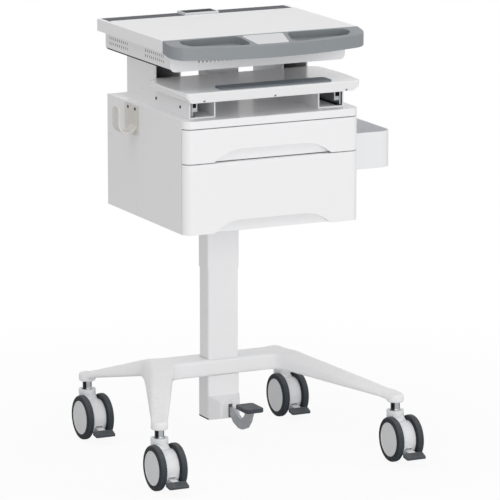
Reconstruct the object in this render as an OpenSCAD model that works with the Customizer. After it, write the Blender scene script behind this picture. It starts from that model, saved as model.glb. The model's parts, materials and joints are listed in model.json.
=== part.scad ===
// Mobile medical workstation: a height-adjustable cart on a splayed four-legged base.
// Front of the cart faces -Y, Z is up and the floor is at zero.
// Sizes along Y are counted from the axis of the lift column.

/* [Casters] */
// Diameter of each wheel
wheel_d = 100; // [90:1:110]
// Width of one wheel
wheel_w = 15.4; // [13:0.2:17]
// Depth of the tyre from its tread to the rim
tyre_depth = 12; // [9:0.5:14]
// Width over the twin wheels
caster_w = 63.8; // [60:0.2:72]
// Distance from the swivel axis forward to the axle
caster_trail = 30; // [27:0.5:33]
// Diameter of the swivel head
head_d = 38.6; // [36:0.2:41]
// Height of the top of the swivel head above the top of the wheel
head_rise = 8; // [6:0.5:12]
// Diameter of the chrome stem
stem_d = 21; // [18:0.5:23]
// Length of the stem that shows below the leg
stem_show = 18; // [14:0.5:24]
// Diameter of the axle
axle_d = 8; // [6:0.5:10]
// Width of the brake blade
brake_w = 47.2; // [42:0.2:52]
// Length of the brake blade
brake_len = 20.3; // [16:0.1:23]
// Thickness of the brake blade at its front edge
brake_t = 4; // [3:0.1:5]

/* [Base] */
// Distance between the front stems
front_track = 573.4; // [540:1:620]
// Distance between the rear stems
rear_track = 489.2; // [460:1:520]
// Distance from the column to the front stems
front_reach = 303.5; // [280:1:330]
// Distance from the column to the rear stems
rear_reach = 176.3; // [160:1:195]
// Width over the crossbar where the legs leave it
bar_len = 376; // [360:1:392]
// Crossbar edge in front of the column
bar_front = 33; // [31:1:38]
// Crossbar edge behind the column
bar_rear = 37; // [32:1:42]
// Height of the crossbar section
bar_h = 39; // [34:0.5:44]
// Height of a leg section at its end
leg_end_h = 13; // [11:0.5:18]
// Drop of the leg underside from the crossbar to its end
leg_drop = 26; // [20:1:32]
// Width of a front leg where it leaves the crossbar
front_leg_w = 60; // [50:1:66]
// Width of a rear leg where it leaves the crossbar
rear_leg_w = 44; // [38:1:50]
// Diameter of the round leg end
boss_d = 37.8; // [34:0.2:42]

/* [Column] */
// Width of the outer column sleeve
sleeve_w = 77.2; // [70:0.2:84]
// Depth of the outer column sleeve
sleeve_d = 51.4; // [46:0.2:58]
// Height of the lower end of the sleeve above the crossbar
sleeve_gap = 203; // [196:1:220]
// Length of the sleeve
sleeve_len = 482.5; // [470:0.5:500]
// Wall of the sleeve
sleeve_wall = 1.2; // [1:0.1:1.6]
// Length of the fixed inner tube
tube_len = 512; // [490:1:520]
// Wall of the fixed inner tube
tube_wall = 2.5; // [2:0.1:3.5]
// Height of the housing below the crossbar
housing_h = 98; // [90:1:110]
// Wall of that housing
housing_wall = 2; // [1.6:0.1:3]
// Diameter of the gas spring cylinder
spring_d = 22; // [20:0.5:26]
// Length of the gas spring cylinder
spring_len = 470; // [450:1:480]
// Diameter of the gas spring rod
rod_d = 10; // [8:0.5:12]

/* [Height pedal] */
// Width of the pedal hood at its nose
hood_nose_w = 46; // [40:1:52]
// Distance that the hood stands out of the housing
hood_len = 34.5; // [30:0.5:40]
// Height of the hood at its root
hood_h = 54; // [48:0.5:60]
// Thickness of the pedal lever
lever_t = 7; // [5:0.5:8]
// Distance from the pedal pivot forward to the front edge of the foot pad
pedal_reach = 141; // [130:1:150]
// Height from the lowest point of the lever to the top of the foot pad
pedal_rise = 61; // [56:1:66]
// Width of the foot pad
pad_w = 44; // [38:1:52]
// Length of the foot pad
pad_len = 60; // [52:1:66]
// Thickness of the foot pad
pad_t = 10; // [8:0.5:12]

/* [Cabinet] */
// Width of the cabinet
cab_w = 420.8; // [400:0.2:440]
// Distance from the column to the cabinet front
cab_front = 275; // [262:0.5:290]
// Distance from the column to the cabinet rear
cab_rear = 132; // [120:0.5:150]
// Height of the cabinet underside above the crossbar
cab_lift = 340.5; // [330:0.5:350]
// Height of the cabinet
cab_h = 248.4; // [235:0.1:260]
// Wall of the cabinet shell
cab_wall = 2; // [1.5:0.1:3]
// Height of the folded front edge of the cabinet top
top_nose_h = 17.1; // [14:0.1:22]
// Radius of the front corners of the cabinet
cab_corner_r = 21; // [12:0.5:26]
// Thickness of the drawer fronts
front_t = 17.7; // [15:0.1:22]
// Height of the lower drawer front with its gap
lower_front_h = 154.3; // [140:0.1:165]
// Gap round each drawer front
front_gap = 2; // [1:0.1:3]
// Depth of a drawer box behind its front
drawer_depth = 218; // [190:1:224]
// Wall of a drawer box
drawer_wall = 2; // [1.5:0.1:3]
// Width of the finger scoop at the lower edge of a drawer front
scoop_w = 282; // [240:1:300]
// Height of the finger scoop
scoop_h = 26; // [20:0.5:30]
// Depth of the finger scoop at the lower edge
scoop_depth = 13; // [9:0.5:14]

/* [Supports] */
// Distance over the outer walls of the two supports
support_span = 371; // [356:1:384]
// Width of one support
support_w = 62; // [56:0.5:66]
// Wall of a support
support_wall = 3; // [2:0.1:4]
// Distance from the column to the front of the lower support channel
channel_front = 244; // [235:1:255]
// Height of the lower support channel
channel_h = 37.1; // [36:0.1:42]
// Distance from the column to the front of the upright part
upright_front = 69; // [60:0.5:69]
// Distance from the column to the rear of the supports
support_rear = 79; // [70:1:90]
// Height of the supports
support_h = 96.6; // [94:0.1:105]

/* [Keyboard tray] */
// Width of the keyboard tray
tray_w = 429; // [412:1:440]
// Distance from the column to the front of the tray
tray_front = 284; // [270:0.5:292]
// Depth of the tray
tray_d = 213.5; // [205:0.5:214]
// Thickness of the tray plate
tray_t = 10.8; // [8:0.1:12]
// Height of the sloping skirt below the tray plate
skirt_h = 13; // [10:0.5:14]
// Length of the wrist rest
wrist_w = 264.5; // [240:0.5:280]
// Depth of the wrist rest
wrist_d = 46; // [38:1:54]
// Height of the wrist rest above the tray
wrist_t = 3; // [2:0.2:5]

/* [Equipment box] */
// Width of the equipment box
box_w = 420.8; // [400:0.2:440]
// Distance from the column to the front of the box
box_front = 201.4; // [190:0.1:208]
// Distance from the column to the rear of the box
box_rear = 138.3; // [128:0.1:150]
// Height of the equipment box
box_h = 46; // [42:0.5:52]
// Wall of the equipment box
box_wall = 2; // [1.5:0.1:3]
// Radius of its lower side edges
box_edge_r = 12; // [8:0.5:14]

/* [Worktop] */
// Width of the worktop
top_w = 467.6; // [450:0.2:490]
// Distance from the column to the front edge of the worktop
top_front = 214; // [210:0.5:222]
// Distance from the column to the rear edge of the worktop
top_rear = 134; // [130:0.5:150]
// Thickness of the worktop
top_t = 26.5; // [22:0.5:30]
// Depth of the grey rear strip
strip_d = 50; // [46:0.5:56]
// Width of the cable port
port_w = 82; // [74:1:96]
// Depth of the cable port
port_d = 43; // [38:0.5:46]
// Height of the cable port above the worktop
port_h = 6; // [5:0.1:8]

/* [Handle] */
// Distance that each end of the handle stands out past the side of the worktop
handle_side = 0.2; // [0:0.1:4]
// Depth of the handle on its centre line
handle_d = 74; // [66:0.5:82]
// Depth that the front edge loses towards the ends
handle_bow = 24; // [16:0.5:28]
// Radius of the handle ends
handle_corner_r = 34; // [26:0.5:40]
// Thickness of the handle
handle_t = 27; // [23:0.5:30]
// Drop of the handle top from its rear to its front edge
handle_drop = 13.8; // [10:0.2:18]
// Depth of the grip pockets
pocket_depth = 15; // [10:0.5:18]
// Width of the white centre panel at its rear edge
panel_w = 100; // [88:1:112]

/* [Bin and hook] */
// Width of the side bin
bin_w = 108.2; // [95:0.2:120]
// Depth of the side bin
bin_d = 224; // [200:1:250]
// Height of the side bin
bin_h = 80.8; // [70:0.2:95]
// Wall of the side bin
bin_wall = 2.5; // [2:0.1:4]
// Width of the hook's back plate
hook_plate_w = 77; // [70:1:90]
// Height of the hook's back plate
hook_plate_h = 66; // [58:1:74]
// Width of the hook strap
hook_w = 34; // [28:1:40]
// Distance that the hook stands out
hook_out = 45; // [38:1:52]

/* [Hidden] */
$fn = 48;

// Overrun of every cut past the surface that it opens
over = 1;
// Radial clearance of a running fit
run_fit = 0.05;
// Clearance between two parts that slide or pass each other
slide_gap = 0.3;
// Radius on small sheet metal and moulded corners
small_r = 4;
// Segments in each rounded corner of an outline
arc_steps = 6;

// Heights above the floor
axle_z = wheel_d / 2;
head_top_z = wheel_d + head_rise;
boss_bottom_z = head_top_z + stem_show;
// Height of the leg's end underside above the bottom of its boss
boss_show = 6;
// Step between the round boss and the leg end that it carries
boss_step = 0.6;
leg_end_z = boss_bottom_z + boss_show;
bar_bottom_z = leg_end_z + leg_drop;
bar_top_z = bar_bottom_z + bar_h;
sleeve_bottom_z = bar_top_z + sleeve_gap;
cab_bottom_z = bar_top_z + cab_lift;
cab_top_z = cab_bottom_z + cab_h;
box_bottom_z = cab_top_z + support_h;
top_bottom_z = box_bottom_z + box_h;
top_z = top_bottom_z + top_t;
handle_w = top_w + 2 * handle_side;

// Caster details
wheel_inner_x = caster_w / 2 - wheel_w;
rim_r = wheel_d / 2 - tyre_depth;
// Gap between each wheel and the caster body
wheel_gap = 0.5;
body_w = 2 * (wheel_inner_x - wheel_gap);
// Height of the turning ring at the top of the swivel head
ring_h = 11;
neck_z = head_top_z - ring_h;
// Step between the turning ring and the neck below it
seam_step = 0.5;
// Depth that the stem reaches into the swivel head
stem_in = 28;
// Gap below the end of the stem
stem_end_gap = 2;
// Flange at the foot of the visible stem
flange_d = stem_d + small_r;
flange_t = 2;
// Thread that holds a stem in its leg
thread_d = 12;
thread_len = 16;
// Radius of the tyre shoulders
shoulder_r = 5;
// Face thickness of the rim disc
disc_t = 3.2;
// Depth of the shallow dish in the outer face of the rim
dish = 0.8;
// Width of the rim's outer ring and hub walls
rim_wall = 5;
// Share of the body radius from its axle at which its back wall starts and its drop there
body_back_shares = [0.94, 0.34];

// Brake details
// Distance from the axle forward to the brake pivot, and of the pivot below the axle
brake_pivot_y = 21;
brake_pivot_drop = 23;
brake_pivot_z = axle_z - brake_pivot_drop;
brake_pin_d = 5;
brake_arm_w = 16;
brake_arm_h = 9;
// Blade heights above the floor at its rear and front edges
blade_rear_z = 29;
blade_front_z = 21.5;
// Gap between the blade and the tread of the wheels
blade_gap = 3.2;
blade_rear_y = axle_z + blade_gap;
brake_reach = blade_rear_y + brake_len;
// Room behind and above the brake arm in its slot
brake_room = 3;

// The origin is below the middle of the floor plan
column_y = (front_reach + caster_trail + brake_reach - rear_reach + caster_trail - axle_z) / 2;

// Leg fillets at the crossbar
leg_fillet_r = 34;
// Radius of the outer corners where front and rear legs meet
bar_corner_r = 16;
// Loss of the crossbar's half width from its middle to its rear edge
bar_end_loss = 10;

// Column details
column_corner_r = 5;
tube_w = sleeve_w - 2 * (sleeve_wall + slide_gap);
tube_d = sleeve_d - 2 * (sleeve_wall + slide_gap);
// Thickness of the plate that closes the top of the sleeve
sleeve_cap_t = 4;
sleeve_top_z = sleeve_bottom_z + sleeve_len;
housing_bottom_z = bar_bottom_z - housing_h;
// Thickness of the black cap below the housing
cap_t = 3;
spring_wall = 2;
// Solid length at each end of the gas spring cylinder
spring_end = 6;
piston_h = 10;
// Height of the piston's foot above the housing cap
piston_lift = 225;

// Pedal details
hood_nose_h = 39;
hood_nose_z = 66;
hood_slot_w = lever_t + 3;
hood_corner_r = 7;
// Height of the slot in the hood's nose above its lower edge, and the slot's own height
hood_slot_low = 1;
hood_slot_h = 31;
pedal_pin_d = 6;
pedal_pin_len = 27;
// Distance from the column to the pedal pivot and its height
pedal_pivot_y = 47;
pedal_pivot_z = 83;
pedal_low_z = 53;
// Lever outline as shares of the pedal's reach and rise, from its tail round to the hood again
lever_shares = [
    [0.05, 0.62], [-0.10, 0.64], [-0.25, 0.62], [-0.36, 0.50], [-0.47, 0.40], [-0.53, 0.40],
    [-0.63, 0.56], [-0.70, 0.836], [-0.91, 0.836], [-0.83, 0.44], [-0.71, 0.15],
    [-0.55, 0.01], [-0.42, 0.00], [-0.24, 0.12], [-0.12, 0.34], [0.05, 0.36]
];
lever_radius_share = 0.045;

// Cabinet details
rear_corner_r = 1.5;
shell_front = cab_front - front_t - front_gap;
upper_front_z = cab_bottom_z + lower_front_h;
nose_z = cab_top_z - top_nose_h;
// Scoop outline as shares of its half width and height
scoop_shares = [[-1, 0], [-0.88, 0.46], [-0.74, 0.83], [-0.57, 1]];
// Drawer rail section and places
rail_w = 10;
rail_h = 30;
rail_t = 1.5;
// Gap between a rail and the side of the drawer box
rail_side_gap = 1.5;
// Heights of the rails above the bottom edges of the drawer fronts
upper_rail_lift = 30;
lower_rail_lift = 70;
// Heights of the drawer boxes and their distance above the front's lower edge
upper_box_h = 58;
lower_box_h = 128;
drawer_lift = 8;
// Gap between the front end of a rail and the drawer front
rail_front_gap = 3;

// Support and tray slide details
slide_w = 12;
slide_h = 31;
slide_t = 1.5;
slide_len = 284;
// Length of the bracket that carries the tray
bracket_len = 150;
bracket_t = 3;
bracket_arm_h = 9;
// Distance of a slide's front end behind the channel's front
slide_setback = 2;

// Tray details
tray_front_r = 12;
tray_rear_r = 26;
// Loss of the tray's half width from its widest place to its front and rear corners
tray_front_loss = 8;
tray_rear_loss = 8;
// Radius of the gently curved sides and distance of their widest place from the front
tray_side_r = 600;
tray_widest = 96;
// Height of the upright lip round the tray's top
tray_lip_h = 3;
// Gap between the tray skirt and the top edges of the supports
tray_gap = 2;
// Loss of the skirt's width and depth at its lower edge, on each side and at the front
skirt_side_loss = 20;
skirt_front_loss = 9;
skirt_wall = 3;
tray_bottom_z = cab_top_z + channel_h + tray_gap + skirt_h;
wrist_corner_r = 9;
// Distance of the wrist rest from the tray's front edge, and of its middle from the tray's middle
wrist_setback = 12.3;
wrist_shift = 13.3;
// Depth of the shallow seat in the tray that the wrist rest lies in
wrist_sink = 0.6;

// Vent slots in the equipment box
vent_w = 2.4;
vent_h = 6;
vent_pitch = 10.2;
vent_count = 10;
// Front vents stand in two mirrored groups, counted from the end of the box towards its middle
front_vent_h = 4;
front_vent_pitch = 9.5;
front_vent_start = 68;
front_vent_count = 10;
// Heights of the two vent rows above the underside of the box
vent_rows = [19, 30.5];
// Distance of the first slot of each group from the rear face of the box
vent_starts = [24, 212];

// Worktop details
top_corner_r = 4;
bead_w = 4;
bead_h = 1.5;
strip_t = 3;
strip_side = 9.6;
// Distance of the strip behind which the worktop's rear margin stays
strip_rear_margin = 4;
strip_rear_y = top_rear - strip_rear_margin;
lip = 3;
lid_t = 3;
lid_gap = 0.4;
lid_pin_d = 2;
// Distance of the cable port in front of the rear end of the strip
port_margin = 3;
// Ledge below the lid that it rests on
port_ledge = 8;

// Handle details
handle_slope = atan(handle_drop / handle_d);
// Grip pocket outline as shares of half the handle's width and of its depth, seen from above
pocket_shares = [
    [0.835, 0.10], [0.862, 0.20], [0.862, 0.42], [0.80, 0.62], [0.71, 0.68],
    [0.49, 0.76], [0.32, 0.84], [0.24, 0.83], [0.215, 0.62], [0.24, 0.22], [0.275, 0.06]
];
pocket_r = 7;
panel_margin = 4.5;
panel_d = 60;
// Loss of panel width towards the front
panel_taper = 24;
panel_t = 2.2;
panel_sink = 2;
panel_r = 5;

// Bin and hook details
// Distance from the column to the front of the bin, and of its rim below the cabinet top
bin_front = 223;
bin_drop = 66.9;
bin_corner_r = 28;
hook_t = 3;
hook_strap_t = 4;
hook_rear = 32;
hook_top_gap = 2;
hook_corner_r = 16;
// Centre of the strap counted from the rear edge of the plate
hook_strap_y = 45;
// Radius of the top corners of the strap's lip
hook_lip_r = 12;
// Height of the strap's bottom above the lower edge of the plate
hook_strap_lift = 4;
hook_slot_w = 8.6;
hook_slot_len = 38;
hook_slot_margin = 5;

// Screws
screw_head_d = 6.4;
screw_head_h = 1.2;
screw_d = 3.8;
// Height of the support screws above the cabinet top, and distances from the column
support_screw_z = 20;
support_screw_y = [75, 198.6];
// Distances of the hook screws from the rear edge of its plate, and from its top edge
hook_screw_y = [19, 56];
hook_screw_drop = 8;

// Colours
white = [0.93, 0.93, 0.94];
pale_grey = [0.80, 0.81, 0.82];
mid_grey = [0.57, 0.59, 0.61];
dark_grey = [0.35, 0.37, 0.40];
tyre_grey = [0.22, 0.25, 0.28];
near_black = [0.08, 0.08, 0.09];
steel = [0.70, 0.71, 0.73];
beige_grey = [0.73, 0.72, 0.71];

// Places a drawing made round the column axis
module at_column() {
    translate([0, column_y, 0]) children();
}

// Unit vector and angle of the way from one point to another
function unit(v) = v / norm(v);
function heading(v) = atan2(v[1], v[0]);

// Points of one corner of an outline, rounded by an arc that touches both of its edges
function corner_arc(before, p, after, r) =
    let (
        a = unit(before - p),
        b = unit(after - p),
        half = acos(max(-1, min(1, a * b))) / 2,
        centre = p + unit(a + b) * r / sin(half),
        first = heading(p + a * r / tan(half) - centre),
        turn = (heading(p + b * r / tan(half) - centre) - first + 540) % 360 - 180
    )
    [for (k = [0:arc_steps]) centre + r * [cos(first + turn * k / arc_steps), sin(first + turn * k / arc_steps)]];

// Closed outline with each corner rounded to its own radius
function rounded(pts, radii) =
    let (n = len(pts))
    [for (i = [0:n - 1])
        each (radii[i] > 0
            ? corner_arc(pts[(i + n - 1) % n], pts[i], pts[(i + 1) % n], radii[i])
            : [pts[i]])];

// Same radius for every corner of an outline
function alike(pts, r) = [for (p = pts) r];

// Rectangle from a low to a high corner, with one radius for the front and one for the rear
module plan_rect(low, high, front_r, rear_r) {
    polygon(rounded(
        [low, [high[0], low[1]], high, [low[0], high[1]]],
        [front_r, front_r, rear_r, rear_r]));
}

// Slab with a rounded plan between two heights
module slab(low, high, z0, z1, front_r, rear_r) {
    translate([0, 0, z0])
        linear_extrude(z1 - z0)
            plan_rect(low, high, front_r, rear_r);
}

// Box between two corners
module block(low, high) {
    translate(low) cube(high - low);
}

// Drawing in the side view, with the first number along Y and the second up, made w wide
module side_profile(w) {
    rotate([90, 0, 90])
        linear_extrude(w, center = true)
            children();
}

// Drawing in the front view, with the first number along X and the second up
module front_profile(rear_y, front_y) {
    translate([0, rear_y, 0])
        rotate([90, 0, 0])
            linear_extrude(rear_y - front_y)
                children();
}

module rod_x(d, w) {
    rotate([0, 90, 0])
        cylinder(d = d, h = w, center = true);
}

// Corners are numbered front left, front right, rear left, rear right
function side_of(corner) = corner % 2 == 0 ? -1 : 1;
function stem_xy(corner) = corner < 2
    ? [side_of(corner) * front_track / 2, -front_reach]
    : [side_of(corner) * rear_track / 2, rear_reach];

module at_stem(corner) {
    at_column()
        translate(stem_xy(corner))
            children();
}

module at_axle(corner) {
    at_stem(corner)
        translate([0, -caster_trail, axle_z])
            children();
}

// Casters
module caster_side_view() {
    head_r = head_d / 2;
    back = [-caster_trail + rim_r * body_back_shares[0], axle_z - rim_r * body_back_shares[1]];
    polygon([[-head_r, neck_z], [head_r, neck_z], back, [-caster_trail, axle_z]]);
}

module wheel_room(side) {
    translate([side * (body_w + wheel_d) / 2, -caster_trail, axle_z])
        rod_x(wheel_d + 2 * slide_gap + 2 * wheel_gap, wheel_d);
}

module caster_housing(corner) {
    slot_w = brake_arm_w + 2 * wheel_gap;
    slot_back_y = -caster_trail - brake_pivot_y + brake_arm_h / 2 + brake_room;
    color(pale_grey)
        at_stem(corner) {
            difference() {
                union() {
                    translate([0, 0, neck_z]) cylinder(d = head_d, h = ring_h);
                    translate([0, 0, axle_z]) cylinder(d = head_d - 2 * seam_step, h = neck_z - axle_z);
                    translate([0, -caster_trail, axle_z]) rod_x(2 * rim_r, body_w);
                    side_profile(body_w) caster_side_view();
                }
                for (side = [-1, 1]) wheel_room(side);
                translate([0, 0, head_top_z - stem_in - stem_end_gap])
                    cylinder(d = stem_d + 2 * run_fit, h = stem_in + stem_end_gap + over);
                block(
                    [-slot_w / 2, -caster_trail - rim_r - over, 0],
                    [slot_w / 2, slot_back_y, brake_pivot_z + brake_arm_h / 2 + brake_room]);
                translate([0, -caster_trail - brake_pivot_y, brake_pivot_z])
                    rod_x(brake_pin_d + 2 * run_fit, body_w - 2 * brake_room + 2 * slide_gap);
            }
            translate([0, -caster_trail, axle_z])
                rod_x(axle_d, caster_w - 2 * (disc_t + dish + slide_gap));
        }
}

module brake_side_view() {
    arm = brake_arm_h / 2;
    polygon([
        [-brake_pivot_y + arm, brake_pivot_z - arm],
        [-brake_pivot_y + arm, brake_pivot_z + arm],
        [-brake_pivot_y - arm / 2, brake_pivot_z + arm],
        [-blade_rear_y, blade_rear_z],
        [-blade_rear_y, blade_rear_z - 2 * brake_t],
        [-brake_pivot_y - arm / 2, brake_pivot_z - arm]
    ]);
}

module brake_blade_view() {
    polygon([
        [-blade_rear_y, blade_rear_z],
        [-brake_reach, blade_front_z],
        [-brake_reach, blade_front_z - brake_t],
        [-blade_rear_y, blade_rear_z - 2 * brake_t]
    ]);
}

module brake_pedal(corner) {
    color(dark_grey)
        at_stem(corner)
            translate([0, -caster_trail, 0]) {
                side_profile(brake_arm_w) brake_side_view();
                intersection() {
                    side_profile(brake_w) brake_blade_view();
                    slab([-brake_w / 2, -brake_reach], [brake_w / 2, -blade_rear_y],
                        0, axle_z, small_r, 0);
                }
                translate([0, -brake_pivot_y, brake_pivot_z])
                    rod_x(brake_pin_d, body_w - 2 * brake_room);
            }
}

// Wheels lie beside the caster body, one on each side
module wheel_place(corner, side) {
    at_axle(corner)
        mirror([side > 0 ? 0 : 1, 0, 0])
            translate([wheel_inner_x, 0, 0])
                rotate([0, 90, 0])
                    children();
}

module tyre(corner, side) {
    r = wheel_d / 2;
    color(tyre_grey)
        wheel_place(corner, side)
            rotate_extrude()
                polygon(rounded(
                    [[rim_r, 0], [r, 0], [r, wheel_w], [rim_r, wheel_w]],
                    [0, shoulder_r, shoulder_r, 0]));
}

module rim(corner, side) {
    bore_r = axle_d / 2 + run_fit;
    hub_r = bore_r + rim_wall;
    ring_r = rim_r - rim_wall;
    face = wheel_w - dish;
    color(pale_grey)
        wheel_place(corner, side)
            rotate_extrude()
                polygon([
                    [0, face - disc_t], [bore_r, face - disc_t], [bore_r, 0], [hub_r, 0],
                    [hub_r, face - disc_t], [ring_r, face - disc_t], [ring_r, 0],
                    [rim_r, 0], [rim_r, wheel_w], [ring_r + dish, wheel_w],
                    [ring_r + dish, face], [0, face]
                ]);
}

module caster_stems() {
    color(steel)
        for (corner = [0:3])
            at_stem(corner) {
                translate([0, 0, head_top_z - stem_in])
                    cylinder(d = stem_d, h = stem_in + stem_show);
                translate([0, 0, head_top_z + slide_gap])
                    cylinder(d = flange_d, h = flange_t);
                translate([0, 0, boss_bottom_z - over])
                    cylinder(d = thread_d, h = thread_len + over);
            }
}

// Base frame
// Round end of a leg, as an arc from one of its sides to the other
function leg_end(stem, root, sweep) =
    let (way = stem - root, first = heading(way) - sweep / 2)
    [for (k = [0:2 * arc_steps])
        stem + (boss_d / 2 - boss_step) * [cos(first + sweep * k / (2 * arc_steps)), sin(first + sweep * k / (2 * arc_steps))]];

// Right half of the outline seen from above, from the front to the rear of the crossbar
function base_half() =
    let (
        half_bar = bar_len / 2,
        front_inner = [half_bar - front_leg_w, -bar_front],
        rear_inner = [half_bar - rear_leg_w, bar_rear],
        front_end = leg_end(stem_xy(1), [half_bar - front_leg_w / 2, 0], 180),
        rear_outer = [half_bar - bar_end_loss, bar_rear],
        rear_end = leg_end(stem_xy(3), [half_bar - rear_leg_w / 2, bar_rear], 180)
    )
    concat(
        corner_arc([0, -bar_front], front_inner, front_end[0], leg_fillet_r),
        front_end,
        corner_arc(front_end[len(front_end) - 1], [half_bar, 0], rear_outer, bar_corner_r),
        corner_arc([half_bar, 0], rear_outer, rear_end[0], bar_corner_r),
        rear_end,
        corner_arc(rear_end[len(rear_end) - 1], rear_inner, [0, bar_rear], leg_fillet_r));

module base_plan() {
    right = base_half();
    left = [for (i = [len(right) - 1:-1:0]) [-right[i][0], right[i][1]]];
    polygon(concat(right, left));
}

module base_side_view() {
    front_end = -front_reach - boss_d;
    rear_end = rear_reach + boss_d;
    leg_top = leg_end_z + leg_end_h;
    polygon([
        [-bar_front, bar_bottom_z], [-front_reach, leg_end_z], [front_end, leg_end_z],
        [front_end, leg_top], [-front_reach, leg_top], [-bar_front, bar_top_z],
        [bar_rear, bar_top_z], [rear_reach, leg_top], [rear_end, leg_top],
        [rear_end, leg_end_z], [rear_reach, leg_end_z], [bar_rear, bar_bottom_z]
    ]);
}

module base_frame() {
    color(white)
        at_column()
            difference() {
                union() {
                    intersection() {
                        linear_extrude(bar_top_z + over) base_plan();
                        side_profile(2 * front_track) base_side_view();
                    }
                    for (corner = [0:3])
                        translate([each stem_xy(corner), boss_bottom_z])
                            cylinder(d = boss_d, h = boss_show + leg_end_h);
                }
                for (corner = [0:3])
                    translate([each stem_xy(corner), boss_bottom_z - over])
                        cylinder(d = thread_d + 2 * run_fit, h = thread_len + 2 * over);
                column_section(tube_w + 2 * slide_gap, tube_d + 2 * slide_gap,
                    bar_bottom_z - over, bar_top_z + over);
            }
}

// Column
module column_section(w, d, z0, z1) {
    slab([-w / 2, -d / 2], [w / 2, d / 2], z0, z1, column_corner_r, column_corner_r);
}

module column_pipe(w, d, wall, z0, z1) {
    difference() {
        column_section(w, d, z0, z1);
        slab([wall - w / 2, wall - d / 2], [w / 2 - wall, d / 2 - wall],
            z0 - over, z1 + over, column_corner_r - wall / 2, column_corner_r - wall / 2);
    }
}

module column_housing() {
    color(white)
        at_column()
            column_pipe(sleeve_w, sleeve_d, housing_wall, housing_bottom_z, bar_bottom_z);
}

module housing_cap() {
    color(near_black)
        at_column()
            column_section(sleeve_w, sleeve_d, housing_bottom_z - cap_t, housing_bottom_z);
}

module column_tube() {
    color(white)
        at_column()
            column_pipe(tube_w, tube_d, tube_wall, bar_bottom_z, bar_bottom_z + tube_len);
}

module column_sleeve() {
    color(white)
        at_column() {
            column_pipe(sleeve_w, sleeve_d, sleeve_wall, sleeve_bottom_z, sleeve_top_z);
            column_section(sleeve_w, sleeve_d, sleeve_top_z - sleeve_cap_t, sleeve_top_z);
        }
}

module gas_spring_cylinder() {
    color(near_black)
        at_column()
            translate([0, 0, housing_bottom_z])
                difference() {
                    cylinder(d = spring_d, h = spring_len);
                    translate([0, 0, spring_end])
                        cylinder(d = spring_d - 2 * spring_wall, h = spring_len - 2 * spring_end);
                    translate([0, 0, spring_end])
                        cylinder(d = rod_d + 2 * run_fit, h = spring_len);
                }
}

module gas_spring_rod() {
    foot_z = housing_bottom_z + piston_lift;
    color(steel)
        at_column() {
            translate([0, 0, foot_z])
                cylinder(d = rod_d, h = sleeve_top_z - sleeve_cap_t - foot_z);
            translate([0, 0, foot_z])
                cylinder(d = spring_d - 2 * (spring_wall + run_fit), h = piston_h);
        }
}

// Height pedal
module hood_plan() {
    root = sleeve_w / 2;
    nose = hood_nose_w / 2;
    y0 = -sleeve_d / 2;
    y1 = y0 - hood_len;
    polygon(rounded([[-root, y0], [-nose, y1], [nose, y1], [root, y0]],
        [0, hood_corner_r, hood_corner_r, 0]));
}

module hood_side_view() {
    y0 = -sleeve_d / 2;
    y1 = y0 - hood_len;
    z0 = housing_bottom_z - cap_t;
    polygon([[y0, z0], [y1, hood_nose_z], [y1, hood_nose_z + hood_nose_h], [y0, z0 + hood_h]]);
}

module pedal_hood() {
    color(white)
        at_column()
            difference() {
                intersection() {
                    linear_extrude(bar_bottom_z) hood_plan();
                    side_profile(sleeve_w) hood_side_view();
                }
                block(
                    [-hood_slot_w / 2, -sleeve_d / 2 - hood_len - over, hood_nose_z + hood_slot_low],
                    [hood_slot_w / 2, -sleeve_d / 2 - pedal_pin_d, hood_nose_z + hood_slot_low + hood_slot_h]);
                translate([0, -pedal_pivot_y, pedal_pivot_z])
                    rod_x(pedal_pin_d + 2 * run_fit, pedal_pin_len + 2 * slide_gap);
            }
}

function lever_points() =
    [for (s = lever_shares) [-pedal_pivot_y + s[0] * pedal_reach, pedal_low_z + s[1] * pedal_rise]];

module pedal_lever() {
    color(pale_grey)
        at_column() {
            side_profile(lever_t)
                polygon(rounded(lever_points(), alike(lever_shares, lever_radius_share * pedal_rise)));
            translate([0, -pedal_pivot_y, pedal_pivot_z])
                rod_x(pedal_pin_d, pedal_pin_len);
        }
}

module foot_pad() {
    pad_top_z = pedal_low_z + pedal_rise;
    pad_front_y = -pedal_pivot_y - pedal_reach;
    color(dark_grey)
        at_column()
            slab([-pad_w / 2, pad_front_y], [pad_w / 2, pad_front_y + pad_len],
                pad_top_z - pad_t, pad_top_z, 2 * small_r, 2 * small_r);
}

// Cabinet
module cabinet_plan(inset) {
    plan_rect([inset - cab_w / 2, inset - cab_front], [cab_w / 2 - inset, cab_rear - inset],
        cab_corner_r - inset, rear_corner_r - inset / 2);
}

module front_room(front_y, rear_y, z0, z1) {
    block([-cab_w, -front_y, z0], [cab_w, -rear_y, z1]);
}

module cabinet_shell() {
    color(white)
        at_column()
            difference() {
                translate([0, 0, cab_bottom_z]) linear_extrude(cab_h) cabinet_plan(0);
                front_room(2 * cab_front, shell_front, cab_bottom_z - over, nose_z);
                intersection() {
                    translate([0, 0, cab_bottom_z + cab_wall])
                        linear_extrude(cab_h - 2 * cab_wall) cabinet_plan(cab_wall);
                    union() {
                        front_room(shell_front + over, -cab_rear, 0, top_z);
                        front_room(cab_front, -cab_rear, nose_z + cab_wall, top_z);
                    }
                }
                column_section(sleeve_w + 2 * slide_gap, sleeve_d + 2 * slide_gap,
                    cab_bottom_z - over, cab_top_z + over);
            }
}

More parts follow.
